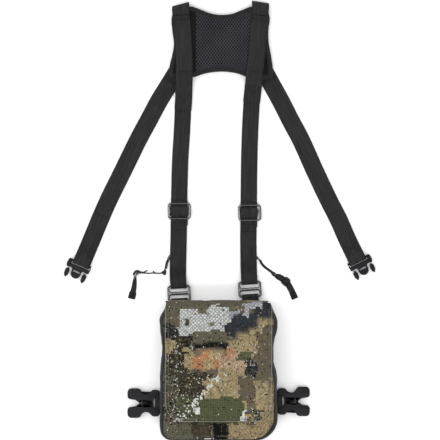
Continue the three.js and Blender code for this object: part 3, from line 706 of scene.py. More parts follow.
def pad(name, panel, low, high, round_low, round_high, material, top=None, warp=None):
    """Closed padded panel with rounded edges above and below; top, if given, is its upper face."""
    top = rounded_face(panel, high, round_high) if top is None else top
    bottom = rounded_face(panel, low, round_low, -1)
    points = np.concatenate([top.reshape(-1, 3), bottom.reshape(-1, 3)])
    if warp:
        points = warp(points)
    rows, columns = panel.edge.shape
    upper = np.arange(rows * columns).reshape(rows, columns)
    faces = bridge(upper.tolist(), False) + bridge((upper + rows * columns).tolist(), False)
    faces += bridge([border(upper), border(upper) + rows * columns])
    pattern = np.stack([panel.x, panel.y, panel.edge], -1).reshape(-1, 3)
    return make_piece(name, points, faces, np.vstack([pattern, pattern]), material)


def edge_band(name, outline, profile, material, closed=True, printed=False):
    """A band along an outline: profile is a closed section of (inset, height). A printed band
    carries on the print of the panel inside it."""
    outline = np.asarray(outline, float)
    if closed:
        along = unit(np.roll(outline, -1, 0) - np.roll(outline, 1, 0))
    else:
        along = unit(np.gradient(outline, axis=0))
    inward = np.column_stack([-along[:, 1], along[:, 0]])
    profile = np.asarray(profile, float)
    xy = outline[:, None, :] + inward[:, None, :] * profile[None, :, :1]
    z = np.broadcast_to(profile[None, :, 1:], xy.shape[:2] + (1,))
    points = np.concatenate([xy, z], -1)
    rings = np.arange(points.shape[0] * points.shape[1]).reshape(points.shape[:2]).tolist()
    faces = bridge(rings + rings[:1] if closed else rings)
    if not closed:
        faces += [tuple(rings[0]), tuple(rings[-1])]
    run = run_along(outline)
    around = run_along(profile)
    pattern = np.stack(np.broadcast_arrays(around[None, :], run[:, None], 3.0), -1)
    if printed:
        pattern = np.stack(np.broadcast_arrays(points[..., 0], points[..., 1], profile[None, :, 0]), -1)
    return make_piece(name, points.reshape(-1, 3), faces, pattern.reshape(-1, 3), material)


CLOTH_FRAMES = 20
RIPPLE = (45, 0.6)  # frequency in 1/m, and height in mm, of the unevenness the cloth starts with


def puffed(grid, free, pressure, cap, spare, seed, wrap=False):
    """Cloth simulation of a sewn panel, as a grid of points. All but the free points are held by
    seams. The cloth is cut larger by the share spare, swells, and moves no further than cap mm."""
    rows, columns = grid.shape[:2]
    rest = grid.reshape(-1, 3) * MM
    held = ~np.asarray(free).ravel()
    mesh = bpy.data.meshes.new("panel")
    numbers = np.arange(rows * columns).reshape(rows, columns)
    mesh.from_pydata(rest.tolist(), [], bridge(numbers.tolist(), wrap))
    piece = add_object("panel", mesh)
    piece.vertex_groups.new(name="held").add(np.flatnonzero(held).tolist(), 1.0, "REPLACE")
    ripple = np.array([noise.noise(Vector(p) * RIPPLE[0] + Vector((seed, 0, 0))) for p in rest])
    normals = np.array([v.normal for v in mesh.vertices])
    start = rest + normals * (np.where(held, 0, ripple) * RIPPLE[1] * MM)[:, None]
    mesh.vertices.foreach_set("co", start.ravel())
    cloth = piece.modifiers.new("cloth", "CLOTH")
    s = cloth.settings
    s.quality = 6
    s.mass = 0.25
    s.tension_stiffness = 30
    s.compression_stiffness = 10
    s.shear_stiffness = 10
    s.bending_stiffness = 1.5
    s.use_pressure = True
    s.uniform_pressure_force = pressure
    s.vertex_group_mass = "held"
    s.shrink_min = -spare
    s.effector_weights.gravity = 0
    scene = bpy.context.scene
    for number in range(1, CLOTH_FRAMES + 1):
        scene.frame_set(number)
    posed = piece.evaluated_get(bpy.context.evaluated_depsgraph_get()).data
    moved = np.array([v.co for v in posed.vertices])
    bpy.data.objects.remove(piece)
    scene.frame_set(1)
    step = moved - rest
    length = np.linalg.norm(step, axis=1, keepdims=True)
    step *= cap * MM / np.maximum(length, cap * MM)
    return (rest + step).reshape(grid.shape) / MM


# ------------------------------------------------------------------ plates with bevelled edges
def rounded(corners, steps=6):
    """Closed outline through corners (x, y, radius), each rounded by an arc."""
    result = []
    count = len(corners)
    for i in range(count):
        x, y, radius = corners[i]
        p = np.array([x, y], float)
        before = unit(np.array(corners[i - 1][:2], float) - p)
        after = unit(np.array(corners[(i + 1) % count][:2], float) - p)
        angle = math.acos(float(np.clip(before @ after, -1, 1)))
        if radius <= 0 or angle > math.pi - 0.02:
            result.append(p)
            continue
        reach = radius / math.tan(angle / 2)
        centre = p + unit(before + after) * radius / math.sin(angle / 2)
        a, b = p + before * reach - centre, p + after * reach - centre
        sweep = math.atan2(a[0] * b[1] - a[1] * b[0], a @ b)
        for k in range(steps + 1):
            turn = sweep * k / steps
            c, s = math.cos(turn), math.sin(turn)
            result.append(centre + np.array([a[0] * c - a[1] * s, a[0] * s + a[1] * c]))
    return np.array(result)


def rounded_box(x0, y0, x1, y1, radius, steps=6):
    """Closed outline of a box with round corners."""
    return rounded([(x0, y0, radius), (x1, y0, radius), (x1, y1, radius), (x0, y1, radius)], steps)


def bevelled(name, outer, holes, low, high, bevel, material, rise=None, bevel_steps=4):
    """Plate between two levels with round edges. Outlines are in the plate's own plane."""
    rise = rise or bevel
    loops = [outer if area(outer) > 0 else outer[::-1]]
    loops += [hole[::-1] if area(hole) > 0 else hole for hole in holes]
    turn = np.radians(np.linspace(0, 90, bevel_steps + 1))
    profile = [(bevel * (1 - math.sin(t)), low + rise * (1 - math.cos(t))) for t in turn]
    profile += [(bevel * (1 - math.sin(t)), high - rise * (1 - math.cos(t))) for t in turn[::-1]]
    points, faces, caps = [], [], ([], [])
    for loop in loops:
        rings = []
        for inset, z in profile:
            ring = inset_loop(loop, inset)
            rings.append(list(range(len(points), len(points) + len(ring))))
            points += [(x, y, z) for x, y in ring]
        faces += bridge(rings)
        caps[0].append(rings[0])
        caps[1].append(rings[-1])
    for cap in caps:
        numbers = [n for ring in cap for n in ring]
        polygons = [[Vector((*points[n][:2], 0)) for n in ring] for ring in cap]
        faces += [tuple(numbers[k] for k in triangle) for triangle in tessellate_polygon(polygons)]
    return make_piece(name, points, faces, points, material)


def area(loop):
    x, y = np.asarray(loop).T
    return 0.5 * float(np.sum(x * np.roll(y, -1) - y * np.roll(x, -1)))


def inset_loop(loop, inset):
    """Outline moved to its left, which is into the material."""
    loop = np.asarray(loop, float)
    before = unit(loop - np.roll(loop, 1, 0))
    after = unit(np.roll(loop, -1, 0) - loop)
    a = np.column_stack([-before[:, 1], before[:, 0]])
    b = np.column_stack([-after[:, 1], after[:, 0]])
    middle = unit(a + b)
    scale = 1 / np.maximum((middle * a).sum(1, keepdims=True), 0.6)
    return loop + middle * scale * inset


def place(piece, origin, turn=0.0):
    """Turn a piece in plan and move it, in its mesh."""
    matrix = Matrix.Translation(Vector(origin) * MM) @ Matrix.Rotation(turn, 4, "Z")
    piece.data.transform(matrix)
    return piece


def cut(piece, *tools):
    for tool in tools:
        modifier = piece.modifiers.new("cut", "BOOLEAN")
        modifier.operation = "DIFFERENCE"
        modifier.solver = "EXACT"
        modifier.object = tool
    deps = bpy.context.evaluated_depsgraph_get()
    mesh = bpy.data.meshes.new_from_object(piece.evaluated_get(deps))
    piece.modifiers.clear()
    piece.data = mesh
    for tool in tools:
        bpy.data.objects.remove(tool)
    return piece


# ------------------------------------------------------------------ driving dimensions, as in the CAD model
GAP = 0.3
CASE_X = -2
CASE_TOP = -122
CASE_BOTTOM = -316.7
CASE_HALF_W = 84
BACK_T = 8
FRONT_Z = 58.3
FRONT_TOP_Z = 63.9
LID_HALF_W = 77
LID_FRONT_Y = -290
LID_R = 27
LID_BEND_Y = -123
LID_TOP_Y = -117.6
LID_TOP_Z = (11, 62)
LID_Z = (64.2, 70.5)

WEB_T = 1.4
ON_WEBBING = WEB_T / 2 + 0.05  # a stitch's height above a band's middle
FRONT_W = 24
SIDE_W = 26
UNDER_Z = 0.95
OVER_Z = UNDER_Z + WEB_T + GAP
LAP_Z = OVER_Z + WEB_T + GAP
BAR_W = 3.2
LOOP_R = 3.15
BAR_Z = UNDER_Z + LOOP_R

FRAME_W = 34
FRAME_L = 24.5
FRAME_R = 5
FRAME_POST = 3.8
MID_BAR_W = 4.7
SLIDER_BAR = 2.6
SLIDER_T = 2.8
SLIDER_Z = OVER_Z + 1.5 * WEB_T + 2 * GAP + SLIDER_T / 2
CONNECTOR_SLANT = math.atan2(6, 103.2)
CONNECTORS = {"left": (-59.7, -107), "right": (43.5, -101)}
SLIDERS = {"left": (-59.3, 13), "right": (42.1, 10.5)}
SLIDER_SIT = {"left": (0.0, 0.012), "right": (1.2, 0.03)}  # sideways shift and turn on the strap
BAR_OFFSET = FRAME_L / 2 - BAR_W / 2
UP_STRAP = np.array([-math.sin(CONNECTOR_SLANT), math.cos(CONNECTOR_SLANT)])

FRONT_ROUTE = {
    "left": [(-61.4, -82), (-60.4, -25), (-59.6, 29), (-58, 88), (-55.4, 131), (-53.3, 175), (-52.6, 182)],
    "right": [(42.1, -76), (41.4, -30), (42, 29), (42.7, 88), (44, 131), (46.4, 175), (48.2, 193)],
}
SHOULDER_ROUTE = {
    "left": [(-53.9, 160.5), (-52.8, 182), (-52.2, 210), (-52.4, 240), (-54.6, 275), (-57.5, 309.8)],
    "right": [(46, 171.5), (48.4, 193), (50.4, 215), (53.3, 240), (56.2, 275), (59, 309.8)],
}
YOKE_Z = (1.95, 9.4)
OVER_YOKE_Z = 10.4
FOLD_STEPS = 17
ANCHOR_END_Y = 262
YOKE_LOW_Y = 203
YOKE_MIDDLE = np.array([2.0, 257.0])
YOKE_OUTLINE = [
    (-64, 207), (-38, 208.6), (-20, 214), (3, 216.4), (24, 214), (40, 208.6), (67, 205.5), (75, 209),
    (76.8, 219), (74.6, 238), (71, 258), (70.4, 276), (72.4, 295), (69, 304.5), (60, 308.6), (46, 310.8),
    (32, 306), (18, 300.6), (3.6, 298.8), (-12, 300.6), (-28, 306.5), (-43, 311.4), (-57, 308.6),
    (-66.6, 304), (-70.4, 294), (-69.4, 276), (-67, 256), (-69.6, 240), (-73.6, 222), (-72.4, 210.4),
]
SIDE_ROUTE = {
    "left": [(-78.6, 190.8), (-88.3, 175), (-103.8, 146), (-119.4, 117), (-140.9, 73), (-162.6, 29),
             (-175.4, 0), (-187, -28), (-202.03, -63.66)],
    "right": [(78.3, 192.6), (87.9, 175), (102.6, 146), (118, 117), (137.8, 73), (158.6, 29),
              (173.3, 0), (185.7, -28), (200.35, -58.79)],
}
SIDE_TAIL = 78
SIDE_TAB = 33
FEMALES = {"left": (-91, -267), "right": (87, -264.5)}

CORD_D = 1.8
TETHER_W = 9
CORD_ROUTE = {
    "left": [(-76.4, -57.6, 1.3), (-77.8, -60.6, 1.25), (-78.9, -64.2, 1.2), (-79.6, -68, 1.2),
             (-80.2, -71.6, 1.2), (-81.8, -75, 1.2), (-84.8, -77.2, 1.2), (-88.6, -77.9, 1.2),
             (-93, -77.5, 1.2), (-98, -77.3, 1.2), (-103.4, -77.9, 1.2), (-108.6, -77.6, 1.2),
             (-113.6, -76.3, 1.2), (-118.4, -75.6, 1.2), (-122.6, -78.6, 1.2)],
    "right": [(57.4, -57.4, 1.3), (57.9, -59.2, 1.25), (58.6, -61.2, 1.2), (59.6, -63.2, 1.2),
              (60.9, -65.2, 1.2), (62.5, -67.1, 1.2), (64.2, -68.8, 1.2), (66.1, -70.4, 1.2),
              (68, -71.8, 1.2), (69.9, -73.1, 1.2), (71.7, -74.4, 1.2), (73.4, -75.7, 1.2),
              (75.1, -77, 1.2), (76.8, -78.3, 1.2), (78.4, -79.6, 1.2)],
}
LEFT_KNOTS = [  # name, material, diameter and run of the short ends about the left tether's knots
    ("tether_nub_left", "cord", 1.7, [(-93.4, -78.4, 2.4), (-95.6, -76.6, 2.8), (-97.8, -74.4, 1.9)]),
    ("tether_loose_end_left", "cord", 1.8, [(-113.8, -78.0, 2.4), (-110.4, -76.0, 2.9),
                                            (-105.9, -73.2, 1.9)]),
    ("tether_wrap_left", "cord", 3.0, [(-115.4, -77.4, 2.4), (-118, -75.2, 3.0), (-121.4, -74.4, 3.1),
                                       (-124.6, -76.6, 2.9), (-126.2, -80.4, 2.1)]),
    ("tether_link_left", "cord_light", 1.9, [(-117.6, -77.4, 3.2), (-121, -79.4, 3.5), (-123.6, -82.4, 3.3),
                                             (-125.3, -85.4, 2.3)]),
]
TAB_LEFT = [(-123.9, -81.6), (-125.4, -97), (-129.2, -115)]
STRAP_RIGHT = [(80.6, -80.8), (88.4, -84.4), (97, -90.6), (103.8, -101.6), (109.6, -114.8)]


# ------------------------------------------------------------------ tethers
TUBE_SIDES = 12


def tube(name, path, diameter, material):
    """Round tube with rounded ends along a path."""
    path = np.asarray(path, float)
    along = unit(np.gradient(path, axis=0))
    side = unit(np.cross(along, (0, 0, 1)))
    up = np.cross(side, along)
    angles = np.arange(TUBE_SIDES) * 2 * math.pi / TUBE_SIDES
    circle = side[:, None, :] * np.cos(angles)[None, :, None] + up[:, None, :] * np.sin(angles)[None, :, None]
    points = path[:, None, :] + circle * diameter / 2
    run = run_along(path)
    pattern = np.stack(np.broadcast_arrays(angles[None, :] * diameter / 2, run[:, None], 1.0), -1)
    rings = np.arange(len(path) * TUBE_SIDES).reshape(len(path), TUBE_SIDES).tolist()
    faces = bridge(rings) + [tuple(rings[0]), tuple(rings[-1])]
    return make_piece(name, points.reshape(-1, 3), faces, pattern.reshape(-1, 3), material)


def knot(name, middle, radius, turn, body):
    """A simple overhand knot: a trefoil of cord drawn tight and flattened."""
    t = np.linspace(0, 2 * math.pi, 73)[:-1]
    x = np.sin(t) + 2 * np.sin(2 * t)
    y = np.cos(t) - 2 * np.cos(2 * t)
    z = -np.sin(3 * t)
    path = np.column_stack([x, y, z * 0.9]) * radius / 3
    c, s = math.cos(turn), math.sin(turn)
    path = np.column_stack([path[:, 0] * c - path[:, 1] * s, path[:, 0] * s + path[:, 1] * c, path[:, 2]])
    path = np.vstack([path, path[:1]]) + np.array(middle)
    return settle(tube(name, path, CORD_D * 0.95, M["cord"]), body, "cord")


def short_cord(name, corners, diameter, material, body, *replaced):
    """Cord along a smooth curve through the corners."""
    return settle(tube(name, smooth(corners, 1.0), diameter, M[material]), body, "cord", *replaced)


def build_tethers():
    for side in SIDES:
        body = f"tether_{side}"
        path = smooth(CORD_ROUTE[side], 1.0)
        name = f"tether_cord_{side}"
        cord = short_cord(name, CORD_ROUTE[side], CORD_D, "cord", body, name)
        if side == "left":
            tab = route_line(TAB_LEFT, lambda run, y: 1.15, 1.2)
            end = ribbon("tether_tab_left", tab, TETHER_W, M["webbing"],
                         taper=([0, 10, 36], [3.6, 6.5, 10.2]))
            extras = tab_details(tab, body)
            extras.append(knot("tether_knot_left", (-81.6, -76.8, 2.6), 3.1, 0.4, body))
            for piece, material, diameter, corners in LEFT_KNOTS:
                extras.append(short_cord(piece, corners, diameter, material, body))
            double = [(x + 2.1, y + 0.6, z + 0.1) for x, y, z in CORD_ROUTE[side][:5]]
            extras.append(short_cord("tether_second_run_left", double, 1.7, "cord", body))
            nodes = ["tether_tab_left"]
        else:
            strap = route_line(STRAP_RIGHT, lambda run, y: 1.15, 1.2)
            end = ribbon("tether_strap_right", strap, TETHER_W, M["webbing"],
                         taper=([0, 5, 60], [5.5, 9.0, 9.0]))
            extras = strap_details(strap, body)
            second = [(x + 1.3, y + 1.3, z + 0.2) for x, y, z in CORD_ROUTE[side][1:]]
            extras.append(short_cord("tether_second_run_right", second, 1.8, "cord", body))
            extras.append(knot("tether_knot_right", (78.2, -79.0, 2.3), 2.6, 0.2, body))
            nodes = ["tether_strap_right"]
        settle(end, body, "webbing", *nodes)
        build_tether_anchor(side)


def tab_details(line, body):
    """The pull tab's turned end and its stitches."""
    length = line.lengths()[-1]
    cap = ribbon("tether_tab_end_left", line.part(slice(-9, None)), 10.6, M["cloth"], thickness=2.4)
    settle(cap, body, "black_cloth")
    seams = [[on_line(line, length - 12, -3.6, 0.8), on_line(line, length - 12, 3.6, 0.8)],
             [on_line(line, 9, -1.8, 0.8), on_line(line, 9, 1.8, 0.8)]]
    return [cap, stitches("tether_tab_stitches_left", seams, body)]


def strap_details(line, body):
    """A raised strap keeper, and the darker doubled end."""
    length = line.lengths()[-1]
    run = 18.5
    points = line.points
    k = int(np.argmin(np.abs(line.lengths() - run)))
    heading = unit(points[k + 1] - points[k - 1])
    turn = math.atan2(heading[1], heading[0])
    outer = rounded_box(-4.6, -6.2, 4.6, 6.2, 1.6)
    holes = [rounded([(x - 1.1, -4.6, 0.6), (x + 1.1, -4.6, 0.6), (x + 1.1, 4.6, 0.6), (x - 1.1, 4.6, 0.6)])
             for x in (-2.1, 2.1)]
    keeper = bevelled("tether_keeper_right", outer, holes, -1.0, 1.0, 0.7, M["plastic"])
    place(keeper, (points[k][0], points[k][1], 3.0), turn)
    settle(keeper, body, "plastic")
    keeper_loop = ribbon("tether_keeper_loop_right", Line(points[k - 3:k + 4] + np.array([0, 0, 2.6])
                         * np.sin(np.linspace(0, math.pi, 7))[:, None] ** 0.6, line.across[k - 3:k + 4]),
                         TETHER_W - 0.4, M["webbing"], thickness=1.2)
    settle(keeper_loop, body, "webbing")
    end = ribbon("tether_end_right", line.part(slice(-8, None)), TETHER_W + 0.8, M["cloth"], thickness=2.5)
    settle(end, body, "black_cloth")
    seams = [[on_line(line, length - 11, -3.8, 0.8), on_line(line, length - 11, 3.8, 0.8)],
             [on_line(line, 5, -3.2, 0.8), on_line(line, 5, 3.2, 0.8)]]
    return [keeper, keeper_loop, end, stitches("tether_stitches_right", seams, body)]


ANCHOR_LOOP = {
    "left": [(-68.6, -50.2, 3.7), (-70.8, -50.8, 4.0), (-72.6, -51.5, 3.7), (-74.4, -52.8, 2.7),
             (-75.6, -54.9, 1.7), (-76.4, -57.2, 1.4)],
    "right": [(48.2, -43.6, 3.6), (49.4, -46.6, 4.5), (51.2, -50.2, 4.6), (53.4, -53.2, 4.2),
              (55.4, -55.2, 2.6), (57.1, -57.0, 1.4)],
}


def build_tether_anchor(side):
    """A doubled thin cord sewn to the strap, which comes over its edge."""
    path = np.array(ANCHOR_LOOP[side])
    out = SIGN[side]
    cords = [smooth(path, 1.0), smooth(path + (-1.9 * out, -0.5, 0.1), 1.0)]
    loop = tube(f"tether_anchor_{side}", cords[0], 1.5, M["cord"])
    settle(loop, "front_harness", "webbing", f"tether_anchor_{side}")
    settle(tube(f"tether_anchor_second_{side}", cords[1], 1.5, M["cord"]), "front_harness", "webbing")
    x, y, z = path[0]
    seams = [[(x - 1.9 * out - 1.2, y + k, z + 0.6), (x + 1.4, y + k, z + 0.6)] for k in (-0.5, 0.2, 0.9)]
    stitches(f"tether_anchor_stitches_{side}", seams, "front_harness")


# ------------------------------------------------------------------ straps
TURN_STEPS = 14


def bar_turn(centre, heading, tail=6.0):
    """Webbing that comes in below a bar, goes round it and ends on top of it."""
    centre, heading = np.asarray(centre, float), np.asarray(heading, float)
    angles = np.linspace(0, math.pi, TURN_STEPS + 1)[1:]
    place_along = np.concatenate([[tail, tail * 2 / 3, tail / 3, 0], -LOOP_R * np.sin(angles)])
    height = np.concatenate([[UNDER_Z] * 4, BAR_Z - LOOP_R * np.cos(angles)])
    plan = centre + place_along[:, None] * heading
    return Line(np.column_stack([plan, height]), (-heading[1], heading[0], 0))


def looped_strap(centre, heading, route, tail, level):
    """Strap that turns round a bar and comes down on its own tail; also its upper layer alone."""
    start = np.asarray(centre) + np.asarray(heading) * 3
    whole = [tuple(start), *route]
    upper = route_line(whole, lambda run, y: BAR_Z + LOOP_R + (level(y) - BAR_Z - LOOP_R) * ease(run, 0, 16))
    under = route_line(whole, lambda run, y: UNDER_Z)
    under = under.part(slice(1, int(tail / WEB_STEP)))
    return under.reversed() + bar_turn(centre, heading).part(slice(3, None)) + upper, upper


def on_connector(side, along):
    return np.array(CONNECTORS[side]) + UP_STRAP * along


def build_front_strap(side):
    bar = on_connector(side, BAR_OFFSET)
    tail = SLIDERS[side][1] - bar[1] - 22
    line, upper = looped_strap(bar, UP_STRAP, FRONT_ROUTE[side], tail, lambda y: OVER_Z)
    strap = ribbon(f"front_strap_{side}", line, FRONT_W, M["webbing"])
    settle(strap, "front_harness", "webbing", f"front_strap_{side}")
    length = upper.lengths()[-1]
    seams = box_x(upper, 9, 15, FRONT_W - 5)
    seams += bartack(upper, tail - 8, FRONT_W - 3, rows=4)
    seams += bartack(upper, length - 20, FRONT_W - 3, rows=2, pitch=1.6)
    stitches(f"front_strap_stitches_{side}", seams, "front_harness")


FOLD_TOP_Y = {"left": 314.9, "right": 318.0}  # middle of the fold, at its far edge
FOLD_SLANT = {"left": 0.27, "right": -0.165}
FOLD_START_Y = 298


def build_shoulder_strap(side):
    """Strap over the yoke, the slanted fold at its end, and the sewn part below the yoke."""
    start = FRONT_ROUTE[side][-1][1]
    whole = route_line(SHOULDER_ROUTE[side],
                       lambda run, y: LAP_Z + (OVER_YOKE_Z - LAP_Z) * ease(y, start + 1, YOKE_LOW_Y))
    width = FRONT_W + 1
    line = whole.part(whole.points[:, 1] < FOLD_START_Y + WEB_STEP)
    lengths = line.lengths()
    strap = ribbon(f"shoulder_strap_{side}", line, width, M["webbing"])
    settle(strap, "front_harness", "webbing", f"shoulder_strap_{side}")

    x = whole.points[-1][0]
    radius = (OVER_YOKE_Z - UNDER_Z) / 2
    bend_y = FOLD_TOP_Y[side] - radius - WEB_T / 2
    angles = np.linspace(math.pi / 2, -math.pi / 2, FOLD_STEPS)
    bend = np.column_stack([np.full(FOLD_STEPS, x), bend_y + radius * np.cos(angles),
                            (OVER_YOKE_Z + UNDER_Z) / 2 + radius * np.sin(angles)])
    route = np.array(SHOULDER_ROUTE[side])
    over_y = np.arange(line.points[-1][1] - 1.0, bend_y, 2.0)
    over_x = np.interp(over_y, route[:, 1], route[:, 0])
    over = np.column_stack([over_x, over_y, np.full(len(over_y), OVER_YOKE_Z)])
    below_y = np.arange(bend_y - 2, ANCHOR_END_Y - 1, -WEB_STEP)
    below_x = np.interp(below_y, route[:, 1], route[:, 0])
    below = np.column_stack([below_x, below_y, np.full(len(below_y), UNDER_Z)])
    path = np.vstack([over, bend, below])
    y, z = path[:, 1], path[:, 2]
    slant = FOLD_SLANT[side] * ease(y, bend_y - np.where(z > 6, 7, 24), bend_y)
    fold = Line(path, (-1, 0, 0))
    piece = ribbon(f"shoulder_fold_{side}", fold, width, M["webbing"], start=lengths[-1] - 1.0, slant=slant)
    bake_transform(piece)
    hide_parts(f"shoulder_fold_{side}", f"strap_anchor_{side}")

    seams = box_x(line, 2.5, 21, width - 5)
    tack = float(np.interp(215.5, line.points[:, 1], lengths))
    seams += bartack(line, tack, 11 if side == "right" else width - 4, rows=4)
    seams += bartack(line, lengths[-1] - 8, width - 3, rows=3, pitch=1.2)
    stitches(f"shoulder_stitches_{side}", seams, "front_harness")
    flat = Line(below - (0, 0, WEB_T + 0.1), (-1, 0, 0))
    stitches(f"anchor_stitches_{side}", box_x(flat, 20, 24, width - 5), "yoke", up=(0, 0, -1))


def heading_of(a, b):
    return unit(np.array(b, float) - np.array(a, float))


def build_side_strap(side):
    route = SIDE_ROUTE[side]
    bar, back = route[-1], route[:-1][::-1]
    out = heading_of(route[-2], bar)
    hinge = np.array(route[0])
    under = heading_of(route[1], route[0])

    def level(y):
        return OVER_Z + (UNDER_Z + 0.4 - OVER_Z) * ease(y, hinge[1] - 24, hinge[1] - 4)

    line, upper = looped_strap(bar, -out, back, SIDE_TAIL, level)
    cut_at = len(line.points) - 12
    strap = ribbon(f"side_strap_{side}", line.part(slice(0, cut_at)), SIDE_W, M["webbing"])
    settle(strap, f"side_{side}", "webbing", f"side_strap_{side}")

    # the stretch across the hinge, as far as its seam under the yoke
    tab = np.arange(0, SIDE_TAB + 0.8, WEB_STEP)
    tab_points = np.column_stack([hinge + tab[:, None] * under, np.full(len(tab), UNDER_Z)])
    tab_line = Line(tab_points, (-under[1], under[0], 0))
    across = tab_line.across[0] * np.sign((line.across[-1] * tab_line.across[0]).sum())
    joined = Line(np.vstack([line.points[cut_at - 1:-1], tab_points]),
                  np.vstack([line.across[cut_at - 1:-1], np.repeat(across[None], len(tab), 0)]))
    web = ribbon(f"side_tab_{side}", joined, SIDE_W, M["webbing"], start=line.lengths()[cut_at - 1])
    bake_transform(web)
    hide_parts(f"side_tab_{side}")
    seams = box_x(upper, 9, 15, SIDE_W - 5)
    seams += bartack(upper, SIDE_TAIL - 4, SIDE_W - 3, rows=3)
    stitches(f"side_strap_stitches_{side}", seams, f"side_{side}")
    tacks = Line(tab_points, across)
    stitches(f"side_tab_stitches_{side}", bartack(tacks, 12, SIDE_W - 3, rows=3, pitch=1.0), "yoke")


def build_case_tabs():
    """Loops of webbing round the connectors' lower bars and the female buckles' bars."""
    for side in SIDES:
        bar = on_connector(side, -BAR_OFFSET)
        slanted = math.sin(CONNECTOR_SLANT) * FRONT_W / 2
        build_tab(f"case_tab_{side}", bar, -UP_STRAP, bar[1] - CASE_TOP - GAP - slanted, FRONT_W)
        x, y = FEMALES[side]
        reach = abs(x - CASE_X - SIGN[side] * (CASE_HALF_W - 1)) - GAP
        build_tab(f"buckle_tab_{side}", (x, y), np.array([-SIGN[side], 0]), reach, 21)


def build_tab(name, centre, heading, reach, width):
    turn = bar_turn(centre, heading, reach)
    ends = [(*(np.asarray(centre) + heading * t), BAR_Z + LOOP_R) for t in (reach / 3, reach * 2 / 3, reach)]
    tab = ribbon(name, turn + Line(ends, (-heading[1], heading[0], 0)), width, M["webbing"])
    settle(tab, "case", "webbing", name)


# ------------------------------------------------------------------ metal frames
def frame_piece(name, bar, post, material, thickness, rise):
    outer = rounded_box(-FRAME_W / 2, -FRAME_L / 2, FRAME_W / 2, FRAME_L / 2, FRAME_R, 10)
    half = FRAME_W / 2 - post
    holes = []
    for low, high in ((-FRAME_L / 2 + bar, -MID_BAR_W / 2), (MID_BAR_W / 2, FRAME_L / 2 - bar)):
        holes.append(rounded_box(-half, low, half, high, 2))
    return bevelled(name, outer, holes, -thickness / 2, thickness / 2, min(bar, post) * 0.46, material,
                    rise=rise, bevel_steps=7)


def build_frames():
    for side in SIDES:
        connector = frame_piece(f"connector_frame_{side}", BAR_W - 0.4, FRAME_POST - 0.4,
                                M["nickel"], 2.8, 1.35)
        x, y = CONNECTORS[side]
        place(connector, (x, y, BAR_Z), CONNECTOR_SLANT)
        settle(connector, "connectors", "black_nickel", f"connector_frame_{side}")

        x, y = SLIDERS[side]
        shift, turn = SLIDER_SIT[side]
        slider = frame_piece(f"slider_{side}", SLIDER_BAR, FRAME_POST, M["nickel"], SLIDER_T, 1.35)
        place(slider, (x + shift, y, SLIDER_Z), turn)
        body = f"slider_{side}"
        settle(slider, body, "black_nickel", f"slider_{side}")
        build_slider_hump(side, x, y, body)


def build_slider_hump(side, x, y, body):
    """The strap where it climbs over the slider's middle bar, and its sewn end below."""
    low = OVER_Z + WEB_T + GAP
    high = SLIDER_Z + SLIDER_T / 2 + GAP + WEB_T / 2
    along = np.arange(-21, 15.6, 0.8)
    reach = FRAME_L / 2 - SLIDER_BAR - 0.9
    climb = 1 - ease(np.abs(along), MID_BAR_W / 2 + 0.2, reach)
    points = np.column_stack([np.full(len(along), x), y + along, low + (high - low) * climb])
    line = Line(points, (-1, 0, 0))
    taper = (line.lengths(), FRONT_W + 0.6 + 1.8 * np.clip(climb * 2, 0, 1))
    hump = ribbon(f"slider_hump_{side}", line, FRONT_W, M["webbing"], taper=taper)
    settle(hump, body, "webbing", f"slider_hump_{side}")
    stitches(f"slider_stitches_{side}", bartack(line, 2.5, FRONT_W - 4, rows=3, pitch=0.9), body)


# ------------------------------------------------------------------ side-release buckles
MALE_HALF_W = 18
MALE_SHIFT = 2.2
MALE_BASE_END = 12
TONGUE_HALF_W = 7.3
TONGUE_TIP = 24
PRONG_V = 13
PRONG_TIP = 26.4
FEMALE_END = 41.4
SLOT_HALF = 12.4


def merge(name, pieces):
    """One object with the meshes of all the pieces."""
    b = bmesh.new()
    for piece in pieces:
        b.from_mesh(piece.data)
    first = pieces[0]
    b.to_mesh(first.data)
    b.free()
    for piece in pieces[1:]:
        bpy.data.objects.remove(piece)
    first.data.shade_smooth()
    first.name = f"{name}_fine"
    return first


def bar_piece(half):
    outline = rounded_box(-BAR_W / 2, -half, BAR_W / 2, half, 0.6)
    return bevelled("bar", outline, [], -1.4, 1.4, 1.1, M["plastic"])


